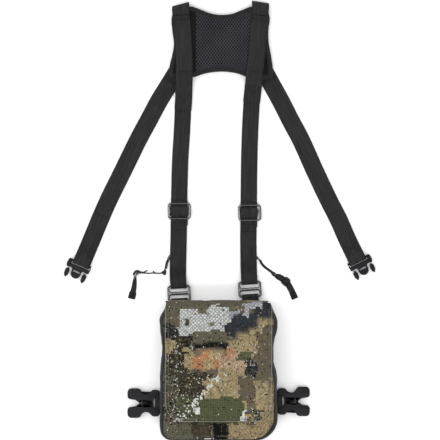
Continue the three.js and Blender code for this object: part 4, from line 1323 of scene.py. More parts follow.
def male_piece(name, outer_side):
    """Short base whose slot the webbing fills, and a flat round tongue behind a narrow gap."""
    half, end, t = MALE_HALF_W, MALE_BASE_END, TONGUE_HALF_W
    slot = SIDE_W / 2 + MALE_SHIFT + 1.0
    near = SIDE_W / 2 - MALE_SHIFT + 1.0
    outer = rounded([
        (-1.6, -slot, 0.4), (-1.6, -half + 0.8, 2.6), (5, -half, 6), (end - 0.4, -half + 0.8, 2.4),
        (end - 1.6, -t - 3, 2.2), (end - 0.6, -t, 2), (TONGUE_TIP, -t, 7.2), (TONGUE_TIP, t, 7.2),
        (end - 0.6, t, 2), (end - 1.6, t + 3, 2.2), (end - 0.4, half - 0.8, 2.4), (5, half, 6),
        (-1.6, half - 0.8, 2.6), (-1.6, near, 0.4), (4.9, near, 0.8), (4.9, -slot, 0.8)], 8)
    outer = outer * (1, outer_side)
    gap = rounded([(end + 0.9, -5, 0.9), (end + 3.1, -5, 0.9), (end + 3.1, 5, 0.9), (end + 0.9, 5, 0.9)])
    body = bevelled("body", outer, [gap], -1.7, 1.7, 0.9, M["plastic"])
    shoulder = rounded([(5.4, -half + 2.6, 2), (end - 1.8, -half + 2.8, 2), (end - 1.8, half - 2.8, 2),
                        (5.4, half - 2.6, 2)])
    ridge = bevelled("ridge", shoulder, [], -2.5, 2.5, 1.0, M["plastic"])
    rim = rounded([(end + 4.6, -5.6, 1.2), (TONGUE_TIP - 1.8, -5.6, 5.4), (TONGUE_TIP - 1.8, 5.6, 5.4),
                   (end + 4.6, 5.6, 1.2)], 8)
    inside = rounded([(end + 5.6, -4.5, 0.8), (TONGUE_TIP - 3.0, -4.5, 4.2), (TONGUE_TIP - 3.0, 4.5, 4.2),
                      (end + 5.6, 4.5, 0.8)], 8)
    collar = bevelled("collar", rim, [inside], -2.45, 2.45, 0.4, M["plastic"])
    return merge(name, [body, ridge, collar, bar_piece(slot + 0.3)])


def prong_piece(name, out):
    """Springy arm that swells to an oval barb with a square catch. out is +1 or -1 across."""
    v = PRONG_V
    tip = PRONG_TIP
    corners = [
        (MALE_BASE_END + 0.2, v - 1.6, 0.3), (tip - 12.6, v - 1.7, 0.6),
        (tip - 10.6, v - 3.1, 1.6), (tip - 3.4, v - 2.9, 2.8), (tip, v - 0.6, 2.0), (tip, v + 0.8, 2.0),
        (tip - 4.4, v + 3.4, 4), (tip - 11.6, v + 3.5, 0.6), (tip - 12.4, v + 1.8, 0.5),
        (MALE_BASE_END + 0.2, v + 1.6, 0.3)]
    outline = rounded([(u, out * w, r) for u, w, r in corners])
    arm = bevelled("arm", outline, [], -1.7, 1.7, 0.7, M["plastic"])
    oval = rounded([(tip - 9.6, v - 1.7, 1.4), (tip - 3.4, v - 1.5, 1.5), (tip - 2.4, v, 1.2),
                    (tip - 3.4, v + 2, 1.5), (tip - 9.6, v + 2.2, 1.4)])
    oval = oval * (1, out)
    boss = bevelled("boss", oval, [], -2.1, 2.1, 0.6, M["plastic"])
    return merge(name, [arm, boss])


def female_piece(name):
    """Open X-shaped body, a sleeve for a prong at the end of each arm, and a slotted bar."""
    side = [(-1.6, SLOT_HALF, 0.8), (-1.6, 17, 3.4), (6.4, 17, 3), (11.2, 12, 7), (16.4, 10.4, 9),
            (22, 11.2, 6), (25.4, 15.4, 4), (27.4, 19, 3), (FEMALE_END, 19, 3.2),
            (FEMALE_END + 0.2, 8.6, 2.2), (31.5, 7.0, 8)]
    slot = [(2.4, -SLOT_HALF, 0.8), (8.9, -5.6, 8), (8.9, 5.6, 8), (2.4, SLOT_HALF, 0.8)]
    corners = side + [(22.4, 0.6, 6.5), (22.4, -0.6, 6.5)] + [(u, -v, r) for u, v, r in side[::-1]] + slot
    outline = rounded(corners, 8)
    half = 3.7
    body = bevelled("body", outline, [], -half, half, 1.1, M["plastic"])
    tunnels = []
    for sign in (-1, 1):
        v0, v1 = sorted((9.3 * sign, 16.7 * sign))
        mouth = rounded([(15.4, v0, 1), (FEMALE_END + 6, v0, 1), (FEMALE_END + 6, v1, 1), (15.4, v1, 1)], 3)
        tunnels.append(bevelled("tunnel", mouth, [], -2.0, 2.0, 0.5, M["plastic"]))
    body = cut(body, *tunnels)
    plateau = inset_loop(resample(outline, 1.2), 2.3)
    raised = bevelled("raised", plateau, [], half - 0.6, half + 0.35, 0.35, M["plastic"])
    lower = bevelled("lowered", plateau, [], -half - 0.35, -half + 0.6, 0.35, M["plastic"])
    return merge(name, [body, raised, lower, bar_piece(SLOT_HALF + 0.6)])


def build_buckles():
    for side in SIDES:
        route = SIDE_ROUTE[side]
        bar = route[-1]
        out = heading_of(route[-2], bar)
        turn = math.atan2(out[1], out[0])
        middle = np.array([*bar, BAR_Z]) + SIGN[side] * MALE_SHIFT * np.array([-out[1], out[0], 0])
        male = place(male_piece(f"male_buckle_{side}", SIGN[side]), middle, turn)
        settle(male, f"male_{side}", "plastic", f"male_buckle_{side}")
        for where, sign in (("inner", -SIGN[side]), ("outer", SIGN[side])):
            name = f"prong_{side}_{where}"
            prong = place(prong_piece(name, sign), middle, turn)
            settle(prong, name, "plastic", name)
        female = place(female_piece(f"female_buckle_{side}"), (*FEMALES[side], BAR_Z),
                       0 if side == "right" else math.pi)
        settle(female, f"female_{side}", "plastic", f"female_buckle_{side}")


# ------------------------------------------------------------------ yoke
def distance_to(outline, points):
    """Distance of plan points from a closed outline."""
    a = outline
    b = np.roll(outline, -1, 0)
    ab = b - a
    ap = points[:, None, :] - a[None]
    t = np.clip((ap * ab[None]).sum(-1) / (ab * ab).sum(-1)[None], 0, 1)
    return np.linalg.norm(ap - t[..., None] * ab[None], axis=-1).min(1)


def inside(outline, points):
    a = outline
    b = np.roll(outline, -1, 0)
    x, y = points[:, None, 0], points[:, None, 1]
    crosses = (a[None, :, 1] > y) != (b[None, :, 1] > y)
    slope = (b[None, :, 0] - a[None, :, 0]) / np.where(b[:, 1] == a[:, 1], 1e-9, b[:, 1] - a[:, 1])[None]
    return (crosses & (x < a[None, :, 0] + (y - a[None, :, 1]) * slope)).sum(1) % 2 == 1


MESH_STEP = 0.62
MESH_PITCH = (4.2, 6.0)
MESH_DEPTH = 1.3


def build_yoke():
    outline = smooth(YOKE_OUTLINE, 3.0, closed=True)
    scales = np.array([1, 0.985, 0.96, 0.93, 0.88, 0.82, 0.74, 0.64, 0.53, 0.41, 0.29, 0.17, 0.06])
    plan = YOKE_MIDDLE + scales[:, None, None] * (outline - YOKE_MIDDLE)[None]
    d = distance_to(outline, plan.reshape(-1, 2)).reshape(plan.shape[:2])
    d[0] = 0

    def face(level, radius, sign):
        drop = fall(1 - np.clip(d / radius, 0, 1), radius)
        return np.concatenate([plan, (level - sign * drop)[..., None]], -1)

    top = face(YOKE_Z[1] - 1.6, 2.6, 1)
    top = puffed(top, (d > 7), 2.2, 1.3, spare=0.012, seed=3, wrap=True)
    bottom = face(YOKE_Z[0] + 0.1, 1.6, -1)
    count = top.shape[0] * top.shape[1]
    upper = np.arange(count).reshape(top.shape[:2])
    points = np.concatenate([top.reshape(-1, 3), bottom.reshape(-1, 3)])
    faces = bridge(upper.tolist()) + bridge((upper + count).tolist())
    faces += bridge([upper[0], upper[0] + count]) + [tuple(upper[-1]), tuple(upper[-1] + count)]
    pattern = np.column_stack([points[:, :2], np.tile(d.ravel(), 2)])
    cushion = make_piece("yoke_pad", points, faces, pattern, M["cloth"])
    settle(cushion, "yoke", "black_cloth", "yoke_outer_panel")

    build_air_mesh(outline, cushion)
    profile = [(6.4, 9.2), (3.6, 9.42), (1.4, 9.0), (0.1, 7.6), (-0.2, 5.4), (0.2, 3.4), (1.6, 2.1),
               (4.5, 1.8), (6.4, 1.9), (6.4, 2.4), (2.4, 2.8), (1.0, 4.2), (0.9, 6.8), (2.2, 8.3), (6.4, 8.5)]
    binding = edge_band("yoke_binding", outline, profile, M["binding"])
    settle(binding, "yoke", "webbing", "yoke_binding")
    seam = inset_loop(outline, 5.2)
    seam = np.column_stack([np.vstack([seam, seam[:1]]), np.full(len(seam) + 1, 9.32)])
    stitches("yoke_binding_stitches", [seam], "yoke", step=3.2, radius=0.26)


def build_air_mesh(outline, cushion):
    """Spacer mesh with real open cells: crossing diagonal ridges, laid over the pad."""
    xs = np.arange(-76, 79, MESH_STEP)
    ys = np.arange(205, 312, MESH_STEP)
    x, y = np.meshgrid(xs, ys)
    flat = np.column_stack([x.ravel(), y.ravel()])
    keep = inside(outline, flat)
    depth_in = np.where(keep, distance_to(outline, flat), 0)
    keep = (depth_in > 4.6).reshape(x.shape)
    a = np.abs(np.cos(np.pi * (x / MESH_PITCH[0] + y / MESH_PITCH[1])))
    b = np.abs(np.cos(np.pi * (x / MESH_PITCH[0] - y / MESH_PITCH[1])))
    ridge = np.maximum(a, b) ** 4
    field = ease(x, -35.5, -34) * (1 - ease(x, 57, 59))
    ridge = ridge * field + 0.3 * (1 - field)
    mesh = cushion.data
    tree = BVHTree.FromPolygons([v.co / MM for v in mesh.vertices], [p.vertices for p in mesh.polygons])
    level = np.full(x.shape, YOKE_Z[1] - 1.6)
    for i, j in np.argwhere(keep):
        hit = tree.ray_cast(Vector((x[i, j], y[i, j], 30)), Vector((0, 0, -1)))[0]
        level[i, j] = hit.z if hit else level[i, j]
    z = np.minimum(level + 0.35 + MESH_DEPTH, 9.5) - MESH_DEPTH * (1 - ridge)
    number = -np.ones(x.shape, int)
    number[keep] = np.arange(keep.sum())
    quads = []
    block = keep[:-1, :-1] & keep[:-1, 1:] & keep[1:, 1:] & keep[1:, :-1]
    for i, j in np.argwhere(block):
        quads.append((number[i, j], number[i, j + 1], number[i + 1, j + 1], number[i + 1, j]))
    top = np.column_stack([x[keep], y[keep], z[keep]])
    base = np.column_stack([x[keep], y[keep], level[keep] + 0.12])
    count = len(top)
    edges = {}
    for quad in quads:
        for k in range(4):
            edge = (quad[k], quad[(k + 1) % 4])
            edges[edge] = True
    rim = [(a, b) for a, b in edges if (b, a) not in edges]
    faces = quads + [tuple(n + count for n in reversed(q)) for q in quads]
    faces += [(b, a, a + count, b + count) for a, b in rim]
    pattern = np.column_stack([x[keep], y[keep], ridge[keep]])
    piece = make_piece("yoke_mesh", np.vstack([top, base]), faces, np.vstack([pattern, pattern]), M["mesh"])
    bmesh_drop_loose(piece)
    settle(piece, "yoke", "air_mesh", "yoke_mesh")


def bmesh_drop_loose(piece):
    b = bmesh.new()
    b.from_mesh(piece.data)
    bmesh.ops.delete(b, geom=[v for v in b.verts if not v.link_faces], context="VERTS")
    b.to_mesh(piece.data)
    b.free()


# ------------------------------------------------------------------ case
LEFT_WAIST = ([-318, -262, -240, -228, -213, -200, -178, -160, -143, -136, -128, -121],
              [0, 0, 0.5, -1, 1, 3, 3, 0.4, 0, 3.5, 8, 10])
RIGHT_WAIST = ([-318, -290, -235, -218, -205, -180, -168, -155, -143, -136, -128, -121],
               [0, 0, 0, 2, 5.5, 5.5, 3.5, 0, 0, 3.5, 8, 10])
CORNERS = (15, 30)  # the case has slumped at its right corner
MOUTH_Y = -120.3
WALL_STEP = 2.6


def waist(points):
    """The soft sides of the case draw in at the mouth and above the pockets."""
    points = np.array(points, float)
    x, y = points[..., 0], points[..., 1]
    share = np.clip(np.abs(x - CASE_X) / CASE_HALF_W, 0, 1.1)
    for sign, (at, inward) in ((-1, LEFT_WAIST), (1, RIGHT_WAIST)):
        amount = sum(np.interp(y + shift, at, inward) for shift in (-4, -2, 0, 2, 4)) / 5
        x = np.where(np.sign(x - CASE_X) == sign, x - sign * amount * share ** 3, x)
    points[..., 0] = x
    return points


def case_wall():
    """Plan of the gusset, from its left end round the bottom to its right end."""
    panel = Panel(CASE_X, CASE_HALF_W, CASE_BOTTOM, MOUTH_Y + 0.6, CORNERS, (0.5, 0.5), 4, 4)
    outline = panel.outline(0, 1.0)
    left = outline[:, 0] < CASE_X
    start = int(np.argmin(np.abs(outline[:, 1] - MOUTH_Y + 0.4) + 1000 * ~left))
    outline = np.roll(outline, -start, 0)
    wall = outline[outline[:, 1] < MOUTH_Y]
    run = run_along(wall)
    at = np.linspace(0, run[-1], int(run[-1] / WALL_STEP))
    return points_at(at, run, wall), at


def wall_normals(plan):
    along = unit(np.gradient(plan, axis=0))
    return np.column_stack([along[:, 1], -along[:, 0]])


def build_gusset():
    plan, run = case_wall()
    out = wall_normals(plan)
    levels = np.linspace(BACK_T + 0.3, FRONT_Z + 1.5, 20)
    t = (levels - levels[0]) / (levels[-1] - levels[0])
    bulge = np.sin(np.pi * t) ** 0.8
    amount = -1.8 - 1.2 * ease(-plan[:, 1], 150, 230)
    inset = 4.4 * ease(levels, 50.5, FRONT_Z + 1.5) + 1.2 * (1 - ease(levels, BACK_T, BACK_T + 5))
    xy = plan[None] + out[None] * (bulge[:, None] * amount[None] - inset[:, None])[..., None]
    grid = np.concatenate([xy, np.broadcast_to(levels[:, None, None], xy.shape[:2] + (1,))], -1)
    free = np.zeros(grid.shape[:2], bool)
    free[2:-2, 2:-2] = True
    grid = puffed(grid, free, -1.6, 1.4, spare=0.02, seed=7)
    grid = waist(grid)
    pattern = np.stack(np.broadcast_arrays(run[None], levels[:, None], 5.0), -1)
    wall = shell("gusset", grid, pattern, -2.0, M["cloth"])
    settle(wall, "case", "black_cloth", "gusset_left", "gusset_right", "gusset_bottom")
    lift = np.append(out, 0 * out[:, :1], 1) * 0.15
    stitches("gusset_stitches", [grid[1] + lift, grid[-3] + lift], "case", step=3.4)
    for side, column in (("left", 0), ("right", -1)):
        hem = Line(grid[:, column] + np.array([-SIGN[side] * 1.0, -3.0, 0]), (0, 1, 0))
        hem = ribbon(f"mouth_binding_{side}", hem, 7.4, M["binding"], thickness=3.4, columns=5)
        settle(hem, "case", "webbing")
    return grid, plan


POCKET_Y = (-306, -222)
POCKET_Z = (12, 52)


def build_pockets(wall, plan):
    """Stretch pockets on the sides: sewn on three sides, gathered on elastic at the mouth."""
    z = wall[:, 0, 2]
    for side in SIDES:
        end = -292 if side == "right" else POCKET_Y[0]
        covered = (plan[:, 1] > end) & (plan[:, 1] < POCKET_Y[1])
        columns = np.flatnonzero((np.sign(plan[:, 0] - CASE_X) == SIGN[side]) & covered)
        rows = np.flatnonzero((z > POCKET_Z[0]) & (z < POCKET_Z[1]))
        base = wall[rows[0]:rows[-1] + 1, columns[0]:columns[-1] + 1]
        u = np.linspace(0, 1, base.shape[0])[:, None]
        y = base[..., 1]
        open_end = ease(y, POCKET_Y[1] - 22, POCKET_Y[1])
        closed_end = 1 - ease(y, end, end + 14)
        swell = (np.sin(np.pi * u) ** 0.7) * (1 - closed_end) * (1.8 - 0.6 * open_end)
        gathers = 0.35 * np.sin(u * math.pi * 15) * open_end
        lift = 0.7 + swell + gathers
        grid = base.copy()
        grid[..., 0] += SIGN[side] * lift
        pattern = np.stack([y, base[..., 2], np.full(y.shape, 5.0)], -1)
        pocket = shell(f"side_pocket_{side}", grid, pattern, 0.8, M["stretch"])
        settle(pocket, "case", "lining_cloth", f"side_pocket_{side}")
        at = -1 if side == "right" else 0
        mouth = grid[:, at].copy()
        mouth[:, 0] += SIGN[side] * 0.1
        hem = Line(mouth + np.array([0, -3.2, 0]), (0, 1, 0))
        elastic = ribbon(f"pocket_elastic_{side}", hem, 8.5, M["binding"], thickness=1.5, columns=5)
        settle(elastic, "case", "webbing")


def build_case():
    back = Panel(CASE_X, CASE_HALF_W - 1, CASE_BOTTOM, CASE_TOP, CORNERS, (4, 4), 56, 44)
    piece = pad("back_panel", back, 0.0, BACK_T, 3.0, 1.5, M["cloth"], warp=waist)
    settle(piece, "case", "black_cloth", "back_panel")
    build_back_channels()

    front = Panel(CASE_X, LID_HALF_W + 3, CASE_BOTTOM + 1.0, CASE_TOP - 1,
                  (CORNERS[0], CORNERS[1] + 3), (4, 4), 72, 48)
    top = rounded_face(front, FRONT_TOP_Z - 0.2, 2.2)
    top = puffed(top, (front.edge > 5) & (front.y < LID_FRONT_Y - 3), 3.0, 2.2, spare=0.02, seed=5)
    piece = pad("front_panel", front, FRONT_Z, FRONT_TOP_Z, 0.8, 2.2, M["camo"], top=top, warp=waist)
    settle(piece, "case", "camo_cloth", "front_panel")
    outline = waist(front.outline(1.0, 2.5))
    turn = np.radians(np.arange(0, 360, 30))
    round_section = [(-0.4 - 1.7 * math.cos(t), FRONT_Z + 2.2 + 1.7 * math.sin(t)) for t in turn]
    settle(edge_band("front_piping", outline, round_section, M["binding"]), "case", "webbing")
    seam = waist(front.outline(5.2, 2.5))
    seam = seam[seam[:, 1] < LID_FRONT_Y - 1]
    line = np.column_stack([seam, np.full(len(seam), FRONT_TOP_Z - 0.1)])
    gaps = np.flatnonzero(np.linalg.norm(np.diff(line, axis=0), axis=1) > 8)
    parts = np.split(line, gaps + 1)
    stitches("front_stitches", [part for part in parts if len(part) > 1], "case", material=M["thread_olive"])

    lining = Panel(CASE_X, 80, CASE_BOTTOM + 4, CASE_TOP - 3, (14, 28), (3, 3), 30, 24)
    piece = pad("front_lining", lining, FRONT_Z - 1.5, FRONT_Z - 0.3, 0.4, 0.4, M["lining"], warp=waist)
    settle(piece, "case", "lining_cloth", "front_lining")
    wall, plan = build_gusset()
    build_pockets(wall, plan)


def build_back_channels():
    """Sewn lines that divide the padding of the back panel."""
    seams = []
    for x in (-52, -19, 15, 48):
        seams.append([(x, y, BACK_T + 0.05) for y in np.arange(-304, -130, 3.0)])
    stitches("back_stitches", seams, "case")


# ------------------------------------------------------------------ lid
LID_TOP_R = (5, 11)
LID_SKIN = 1.6


def lid_panel(inset, rows, columns):
    low = [LID_R - inset, LID_R - inset]
    top = [max(r - inset, 0.6) for r in LID_TOP_R]
    return Panel(CASE_X, LID_HALF_W - inset, LID_FRONT_Y + inset, LID_TOP_Y, low, top, rows, columns)


def build_lid():
    panel = lid_panel(1.2, 92, 60)
    flap = panel.y[:, 0] <= LID_BEND_Y
    columns = panel.x.shape[1]
    share = (spread(columns) + 1) / 2

    # flap, then the quarter bend over the mouth, then down the top panel
    rows = [np.stack([panel.x[k], panel.y[k], np.full(columns, LID_Z[1])], -1) for k in np.flatnonzero(flap)]
    along = list(panel.y[flap, 0])
    bend_y, bend_z = LID_BEND_Y, LID_TOP_Z[1] + GAP
    for angle in np.radians(np.arange(80, -1, -10)):
        y = bend_y + (LID_TOP_Y - bend_y) * math.cos(angle)
        z = bend_z + (LID_Z[1] - bend_z) * math.sin(angle)
        x0, x1 = panel.reach(np.array([min(y, LID_TOP_Y - 0.3)]))
        rows.append(np.stack([x0 + (x1 - x0) * share, np.full(columns, y), np.full(columns, z)], -1))
        along.append(along[-1] + float(np.linalg.norm(rows[-1][0, 1:] - rows[-2][0, 1:])))
    x0, x1 = rows[-1][0, 0], rows[-1][-1, 0]
    for z in np.linspace(bend_z, LID_TOP_Z[0], 24)[1:]:
        flare = 3.2 * ease(bend_z - z, 0, 24)
        x = x0 - flare + (x1 - x0 + flare * 2) * share
        rows.append(np.stack([x, np.full(columns, LID_TOP_Y), np.full(columns, z)], -1))
        along.append(along[-1] + 2.2)
    grid = np.array(rows)
    along = np.array(along)
    count = len(rows)
    edge = np.full((count, columns), 9.0)
    edge[:flap.sum()] = panel.edge[flap]
    side = np.minimum(np.abs(grid[..., 0] - grid[:, :1, 0]), np.abs(grid[..., 0] - grid[:, -1:, 0]))
    edge = np.minimum(edge, side)
    end = np.minimum(np.arange(count), np.arange(count)[::-1])[:, None]
    free = (edge > 4.2) & (end > 2)
    grid = puffed(grid, free, 2.4, 1.5, spare=0.012, seed=11)
    # the padding is drawn down at its seams
    pull = 0.9 * (1 - ease(edge, 0.5, 5.0))
    grid[:flap.sum(), :, 2] -= pull[:flap.sum()]
    pattern = np.stack([grid[..., 0], np.repeat(along[:, None], columns, 1), edge], -1)
    skin = shell("lid_skin", grid, pattern, LID_SKIN, M["camo"])
    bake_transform(skin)
    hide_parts("lid_flap_outer", "lid_front_fold", "lid_top_panel")

    build_lid_edges()
    lining = Panel(CASE_X, LID_HALF_W - 2.2, LID_FRONT_Y + 2.2, LID_BEND_Y - 0.5, (24, 24), (2, 2), 44, 36)
    piece = pad("lid_flap_lining", lining, LID_Z[0], LID_Z[0] + 1.2, 0.5, 0.5, M["lining"])
    settle(piece, "lid_flap", "lining_cloth", "lid_flap_lining")


def build_lid_edges():
    """Binding along the flap's free edge, a light bead on it as a painted highlight, its stitches, and the
    hinge tape.
    """
    outer = lid_panel(0, 4, 4).outline(0, 2.0)
    start = int(np.argmin(np.abs(outer[:, 1] - LID_BEND_Y + 2) + 1000 * (outer[:, 0] > CASE_X)))
    path = np.roll(outer, -start, 0)
    path = path[path[:, 1] < LID_BEND_Y]
    low, high = LID_Z
    profile = [(3.4, high - 0.5), (1.8, high + 0.15), (0.5, high - 0.5), (0, high - 3), (0.5, low + 0.4),
               (1.8, low - 0.1), (3.4, low + 0.1)]
    binding = edge_band("lid_binding", path, profile, M["camo"], closed=False, printed=True)
    settle(binding, "lid_flap", "webbing", "lid_binding")
    # painted highlight: a thin light bead along the flap's edge stands in for the light its rounded edge
    # catches
    turn = np.radians(np.arange(0, 360, 60))
    highlight_bead = [(0.75 - 0.42 * math.cos(t), high - 0.35 + 0.42 * math.sin(t)) for t in turn]
    settle(edge_band("lid_edge", path, highlight_bead, M["thread_olive"], closed=False), "lid_flap", "webbing")
    seam = lid_panel(4.6, 4, 4).outline(0, 2.0)
    start = int(np.argmin(np.abs(seam[:, 1] - LID_BEND_Y + 4) + 1000 * (seam[:, 0] > CASE_X)))
    seam = np.roll(seam, -start, 0)
    seam = seam[seam[:, 1] < LID_BEND_Y - 3]
    line = np.column_stack([seam, np.full(len(seam), high - 0.05)])
    stitches("lid_stitches", [line], "lid_flap", step=3.0, material=M["thread_olive"])

    half = LID_HALF_W - 5
    xs = np.linspace(CASE_X - half, CASE_X + half, 40)
    zs = np.linspace(BACK_T + 0.2, LID_TOP_Z[0] + 1.2, 9)
    x, z = np.meshgrid(xs, zs)
    y = -119.4 + 0.5 * np.sin(np.pi * (z - zs[0]) / (zs[-1] - zs[0]))
    grid = np.stack([x, y, z], -1)
    tape = shell("lid_hinge_tape", grid, np.stack([x, z, 4 + 0 * z], -1), 1.0, M["cloth"])
    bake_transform(tape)
    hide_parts("lid_hinge_tape")


# ------------------------------------------------------------------ camouflage
PRINT_LIGHT = 1.5  # what the studio makes of a pale surface
PRINT_GLOSS = 0.012


def seen(red, green, blue):
    """Cloth colour that comes out at these screen values in the studio light."""
    return tuple(max((value / 255) ** 2.2 - PRINT_GLOSS, 0.003) / PRINT_LIGHT for value in (red, green, blue))


WHITE = seen(208, 210, 204)
PALE = seen(182, 183, 186)
BLUE = seen(160, 168, 172)
NAVY = seen(57, 59, 63)
TAN = seen(166, 150, 114)
BROWN = seen(101, 94, 80)
OLIVE = seen(97, 94, 80)
SAGE = seen(106, 101, 86)
GREEN = seen(90, 94, 70)
DARK = seen(38, 38, 37)
UMBER = seen(74, 68, 57)
RUST = seen(172, 122, 90)
SALMON = seen(188, 158, 132)
PEACH = seen(165, 146, 110)
GREY = seen(112, 114, 116)
SCALES, CELLS, TILES = (1, 0, 0.1), (0, 1, 0.3), (0, 0.5, 0.2)
BUSY, PLAIN, DOTS = (0, 0, 1), (0, 0, 0.3), (0, 0, 0.8)

# left, right, low, high edge in mm, colour, texture, softness of the edge
PATCHES = [
    (-84, 80, -128, -60, OLIVE, PLAIN, 0.2),
    (-72, -28, -100, -78, TAN, CELLS, 0.2),
    (-34, 24, -108, -86, GREEN, TILES, 0.2),
    (18, 62, -98, -70, BROWN, DOTS, 0.2),
    (-52, -8, -84, -58, UMBER, BUSY, 0.2),
    (36, 80, -114, -90, TAN, CELLS, 0.2),
    (-10, 30, -80, -58, NAVY, PLAIN, 5.0),
    (-80, -55, -150, -129, BROWN, PLAIN, 0.2),
    (-84, -62, -200, -171, TAN, CELLS, 0.2),
    (-80, -40, -172, -149, NAVY, BUSY, 0.2),
    (-66, -36, -205, -168, UMBER, BUSY, 0.2),
    (-56, -36, -218, -182, TAN, CELLS, 0.2),
    (-78, -48, -228, -190, UMBER, BUSY, 0.2),
    (10, 80, -196, -135, TAN, CELLS, 0.2),
    (46, 80, -141, -110, NAVY, PLAIN, 5.0),
    (27, 56, -156, -133, NAVY, PLAIN, 5.0),
    (10, 42, -163, -133, NAVY, PLAIN, 5.0),
    (-2, 24, -173, -146, NAVY, PLAIN, 5.0),
    (-57, -34, -167, -130, WHITE, SCALES, 0.2),
    (-37, -14, -165, -137, WHITE, SCALES, 0.2),
    (-17, 5, -158, -123, WHITE, SCALES, 0.2),
    (2, 13, -149, -129, WHITE, SCALES, 0.2),
    (-51, -45, -152, -141, UMBER, PLAIN, 1.5),
    (-16, -8, -152, -147, SAGE, PLAIN, 1.5),
    (13, 29, -138, -130, BLUE, SCALES, 0.2),
    (15, 32, -127, -118, OLIVE, PLAIN, 0.2),
    (31, 58, -128, -118, PALE, SCALES, 0.2),
    (33, 43, -138, -126, PALE, SCALES, 0.2),
    (-37, 12, -178, -159, OLIVE, PLAIN, 0.2),
    (-40, -34, -190, -168, SAGE, PLAIN, 0.2),
    (-38, 12, -186, -176, DARK, PLAIN, 2.5),
    (-35, 4, -198, -184, SAGE, PLAIN, 2.0),
    (-40, -18, -215, -196, RUST, PLAIN, 4.0),
    (-24, 4, -216, -188, PEACH, PLAIN, 3.0),
    (-28, -16, -200, -187, RUST, PLAIN, 5.0),
    (-10, 6, -213, -202, RUST, PLAIN, 4.0),
    (4, 36, -216, -192, SALMON, CELLS, 1.0),
    (8, 17, -198, -184, RUST, PLAIN, 0.2),
    (-6, 42, -274, -214, TAN, CELLS, 0.2),
    (-42, -5, -223, -214, BROWN, PLAIN, 0.2),
    (26, 48, -201, -190, GREEN, PLAIN, 0.2),
    (36, 60, -226, -200, NAVY, BUSY, 1.0),
    (52, 80, -230, -160, BROWN, PLAIN, 0.2),
    (62, 80, -180, -150, BROWN, PLAIN, 0.2),
    (-64, -10, -258, -221, UMBER, DOTS, 0.2),
    (-24, -2, -258, -230, TAN, CELLS, 0.2),
    (28, 56, -262, -226, BROWN, PLAIN, 0.2),
    (50, 80, -292, -232, TAN, CELLS, 0.2),
    (-30, 32, -292, -254, GREEN, TILES, 0.2),
    (-70, -28, -284, -254, GREEN, DOTS, 0.2),
    (-84, -62, -292, -226, SAGE, BUSY, 0.2),
    (30, 60, -292, -273, BROWN, DOTS, 0.2),
    (-34, -29, -278, -263, WHITE, PLAIN, 0.1),
    (31, 36, -289, -273, WHITE, PLAIN, 0.1),
    (38, 46, -285, -279, PEACH, PLAIN, 0.1),
    (-84, -30, -330, -291, OLIVE, PLAIN, 0.2),
    (-40, -12, -330, -292, UMBER, PLAIN, 0.2),
    (-10, 12, -330, -291, DARK, PLAIN, 2.0),
    (12, 70, -330, -291, PEACH, CELLS, 0.2),
    (-24, -16, -330, -312, WHITE, PLAIN, 0.1),
]
PIXEL = 3.2


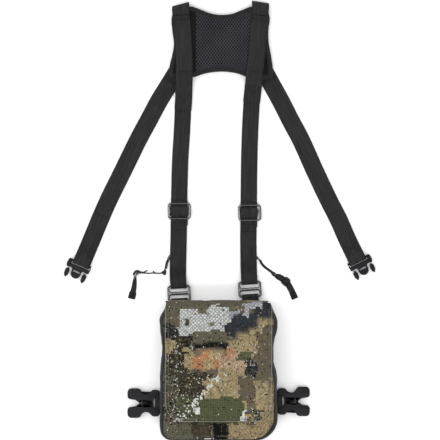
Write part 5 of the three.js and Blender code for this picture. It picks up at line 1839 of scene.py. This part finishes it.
def camo_material():
    """Digital camouflage print on brushed cloth: stepped patches, cell textures and loose squares, with
    painted shade at seams and edges.
    """
    m = Shader("camo")
    where = m.pattern()
    x, y, edge = m.split(where)
    flat = m.join(x, y)

    def snapped(size):
        scaled = m.vector("SCALE", flat, scale=1 / size)
        return m.vector("SCALE", m.vector("ADD", m.vector("FLOOR", scaled), (0.5, 0.5, 0)), scale=size)

    def squares(size, shift):
        """A random number for each square of the print."""
        return m.white(m.vector("ADD", snapped(size), (shift, shift, shift)), "Value")

    def over(colour, mask, share, tone):
        return m.mix(m.times(mask, share), colour, tone)

    def below(value, limit):
        return m.math("LESS_THAN", value, limit)

    jitter = m.vector("SUBTRACT", m.white(snapped(2 * PIXEL)), (0.5, 0.5, 0.5))
    stepped = m.vector("MULTIPLY_ADD", jitter, (7.0, 7.0, 0), snapped(PIXEL))
    drift = m.noise(m.vector("SCALE", flat, scale=0.06), 1.0, 2, colour=True)
    drift = m.vector("SUBTRACT", drift, (0.5, 0.5, 0.5))
    smooth_place = m.vector("MULTIPLY_ADD", drift, (10.0, 10.0, 0), flat)

    colour, texture = SAGE, PLAIN
    for left, right, low, high, tone, kind, soft in PATCHES:
        source = smooth_place if soft > 1 else stepped
        middle = ((left + right) / 2, (low + high) / 2, 0)
        half = ((right - left) / 2, (high - low) / 2, 0)
        off = m.vector("SUBTRACT", m.vector("ABSOLUTE", m.vector("SUBTRACT", source, middle)), half)
        dx, dy, _ = m.split(off)
        mask = m.range(m.math("MAXIMUM", dx, dy), -soft, soft, 1.0, 0.0)
        colour = m.mix(mask, colour, tone)
        texture = m.mix(mask, texture, kind)
    scales, cells, busy = m.split(texture)
    cracks = m.range(cells, 0.65, 0.95)
    tiles = m.math("SUBTRACT", m.range(cells, 0.2, 0.45), m.range(cells, 0.55, 0.8))
    very_busy = m.math("POWER", busy, 1.6)

    # tonal grain: soft mottle, and small squares a little lighter or darker than their patch
    mottle = m.noise(m.vector("SCALE", flat, scale=0.2), 1.0, 5)
    colour = m.shade(colour, m.linear(mottle, 0.9, 0.55))
    colour = m.shade(colour, m.linear(squares(PIXEL / 2, 5), 0.34, 0.83))

    # scales, cracks and tiles
    diamonds = m.vector("MULTIPLY_ADD", drift, (4.0, 4.0, 0),
                        m.join(m.math("ADD", x, y), m.math("SUBTRACT", x, y)))
    scale_line = m.range(m.cells(diamonds, 0.19, 0.4), 0.04, 0.24, 1.0, 0.0)
    colour = over(colour, scale_line, m.times(scales, 0.85), GREY)
    colour = over(colour, scale_line, m.times(cracks, 0.4), OLIVE)
    crack_line = m.range(m.cells(m.vector("ADD", smooth_place, (31, 7, 0)), 0.075), 0.0, 0.035, 1.0, 0.0)
    colour = over(colour, crack_line, m.times(cracks, 0.6), UMBER)
    grid = m.math("MINIMUM", m.math("PINGPONG", x, PIXEL / 2), m.math("PINGPONG", y, PIXEL / 2))
    colour = over(colour, m.range(grid, 0.1, 0.4, 1.0, 0.0), m.times(tiles, 0.5), DARK)

    # dark pebbles with a light rim
    from_seed, own = m.seeds(smooth_place, 0.25)
    first, second, _ = m.split(own)
    chosen = below(first, m.times(busy, 0.42))
    size = m.linear(second, 0.16, 0.18)
    rim = below(from_seed, m.math("ADD", size, 0.08))
    colour = over(colour, m.times(chosen, rim), 0.4, GREY)
    colour = over(colour, m.times(chosen, below(from_seed, size)), 0.92, DARK)

    # loose squares
    cluster = m.range(m.noise(m.vector("SCALE", flat, scale=0.09), 1.0, 2), 0.42, 0.62)
    for cell, shift, dense, tone in ((PIXEL * 0.45, 5, 0.20, OLIVE), (PIXEL / 2, 3, 0.24, DARK),
                                     (PIXEL * 0.45, 31, 0.12, WHITE), (PIXEL * 0.5, 53, 0.03, TAN)):
        chance = m.times(very_busy, dense)
        if tone is WHITE:
            chance = m.times(chance, cluster)
        colour = m.mix(below(squares(cell, shift), chance), colour, tone)

    # dark twigs where the print is busiest
    bent = m.vector("MULTIPLY_ADD", drift, (26.0, 26.0, 0), flat)
    twig = m.noise(m.vector("MULTIPLY", bent, (0.42, 0.16, 1.0)), 1.0, 3)
    twig = m.math("ABSOLUTE", m.math("SUBTRACT", twig, 0.5))
    colour = over(colour, m.range(twig, 0.012, 0.034, 1.0, 0.0), m.range(busy, 0.6, 1.0, 0.0, 0.9), DARK)

    # a broken trail of light squares from the middle to the low left corner
    small = PIXEL * 0.6
    px, py, _ = m.split(snapped(small))
    line = m.linear(py, 0.67, 148.4)
    off_line = m.math("ABSOLUTE", m.math("SUBTRACT", m.times(px, 0.742), line))
    near = m.range(off_line, 1.0, 6.5, 0.42, 0.0)
    within = m.times(below(py, -222.0), m.math("GREATER_THAN", py, -290.0))
    colour = m.mix(below(squares(small, 77), m.times(near, within)), colour, WHITE)

    warp_thread = m.math("SINE", m.times(x, 2 * math.pi / 0.8))
    weft_thread = m.math("SINE", m.times(y, 2 * math.pi / 0.8))
    weave = m.linear(m.times(warp_thread, weft_thread), 0.5, 0.5)
    fluff = m.noise(where, 1.4, 3)
    tone_now = m.times(m.linear(weave, 0.22, 0.89), m.linear(fluff, 0.3, 0.85))
    # painted shade: darker along the seam crease 4.7 mm inside the edge, and towards the rounded edges of
    # panels and binding
    crease = m.math("ABSOLUTE", m.math("SUBTRACT", edge, 4.7))
    tone_now = m.times(tone_now, m.range(crease, 0.2, 0.9, 0.72, 1.0))
    tone_now = m.times(tone_now, m.range(edge, 0.2, 1.8, 0.45, 1.0))
    m.set("Base Color", m.shade(colour, tone_now))
    m.set("Roughness", m.linear(weave, -0.08, 0.85))
    m.set("Specular IOR Level", 0.12)
    m.bump(weave, 0.12)
    m.bump(fluff, 0.1)
    return m.material


# ------------------------------------------------------------------ all of it
M = {}


def build_materials():
    M["webbing"] = webbing_material("webbing", (0.024, 0.024, 0.024))
    M["binding"] = webbing_material("binding", (0.012, 0.012, 0.012), rib=0.9)
    M["cloth"] = cloth_material("black_cloth", (0.009, 0.009, 0.010))
    M["lining"] = cloth_material("lining", (0.030, 0.030, 0.033), thread=0.6, grain=0.08)
    M["stretch"] = cloth_material("stretch", (0.012, 0.012, 0.014), thread=0.55, grain=0.1)
    M["mesh"] = mesh_material()
    M["foam"] = foam_material()
    M["plastic"] = plastic_material()
    M["nickel"] = nickel_material()
    M["steel"] = steel_material()
    M["cord"] = cord_material("cord", (0.018, 0.018, 0.019))
    M["cord_light"] = cord_material("cord_light", (0.13, 0.13, 0.135))
    M["thread"] = thread_material("thread", (0.010, 0.010, 0.011))
    M["thread_olive"] = thread_material("thread_olive", (0.19, 0.185, 0.16))
    M["camo"] = camo_material()


def finish_inner_nodes():
    """The pieces sealed inside the pads stay as the CAD has them."""
    steel = [f"{part}_{side}" for part in ("lid_magnet", "closure_plate") for side in SIDES]
    sealed = [("yoke_foam", "foam"), ("lid_flap_foam", "foam")] + [(name, "steel") for name in steel]
    for name, material in sealed:
        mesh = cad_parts[name].data
        mesh.materials.clear()
        mesh.materials.append(M[material])


build_camera()
build_materials()
build_tethers()
build_studio()
for side in SIDES:
    build_front_strap(side)
    build_shoulder_strap(side)
    build_side_strap(side)
build_case_tabs()
build_frames()
build_buckles()
build_yoke()
build_case()
build_lid()
finish_inner_nodes()
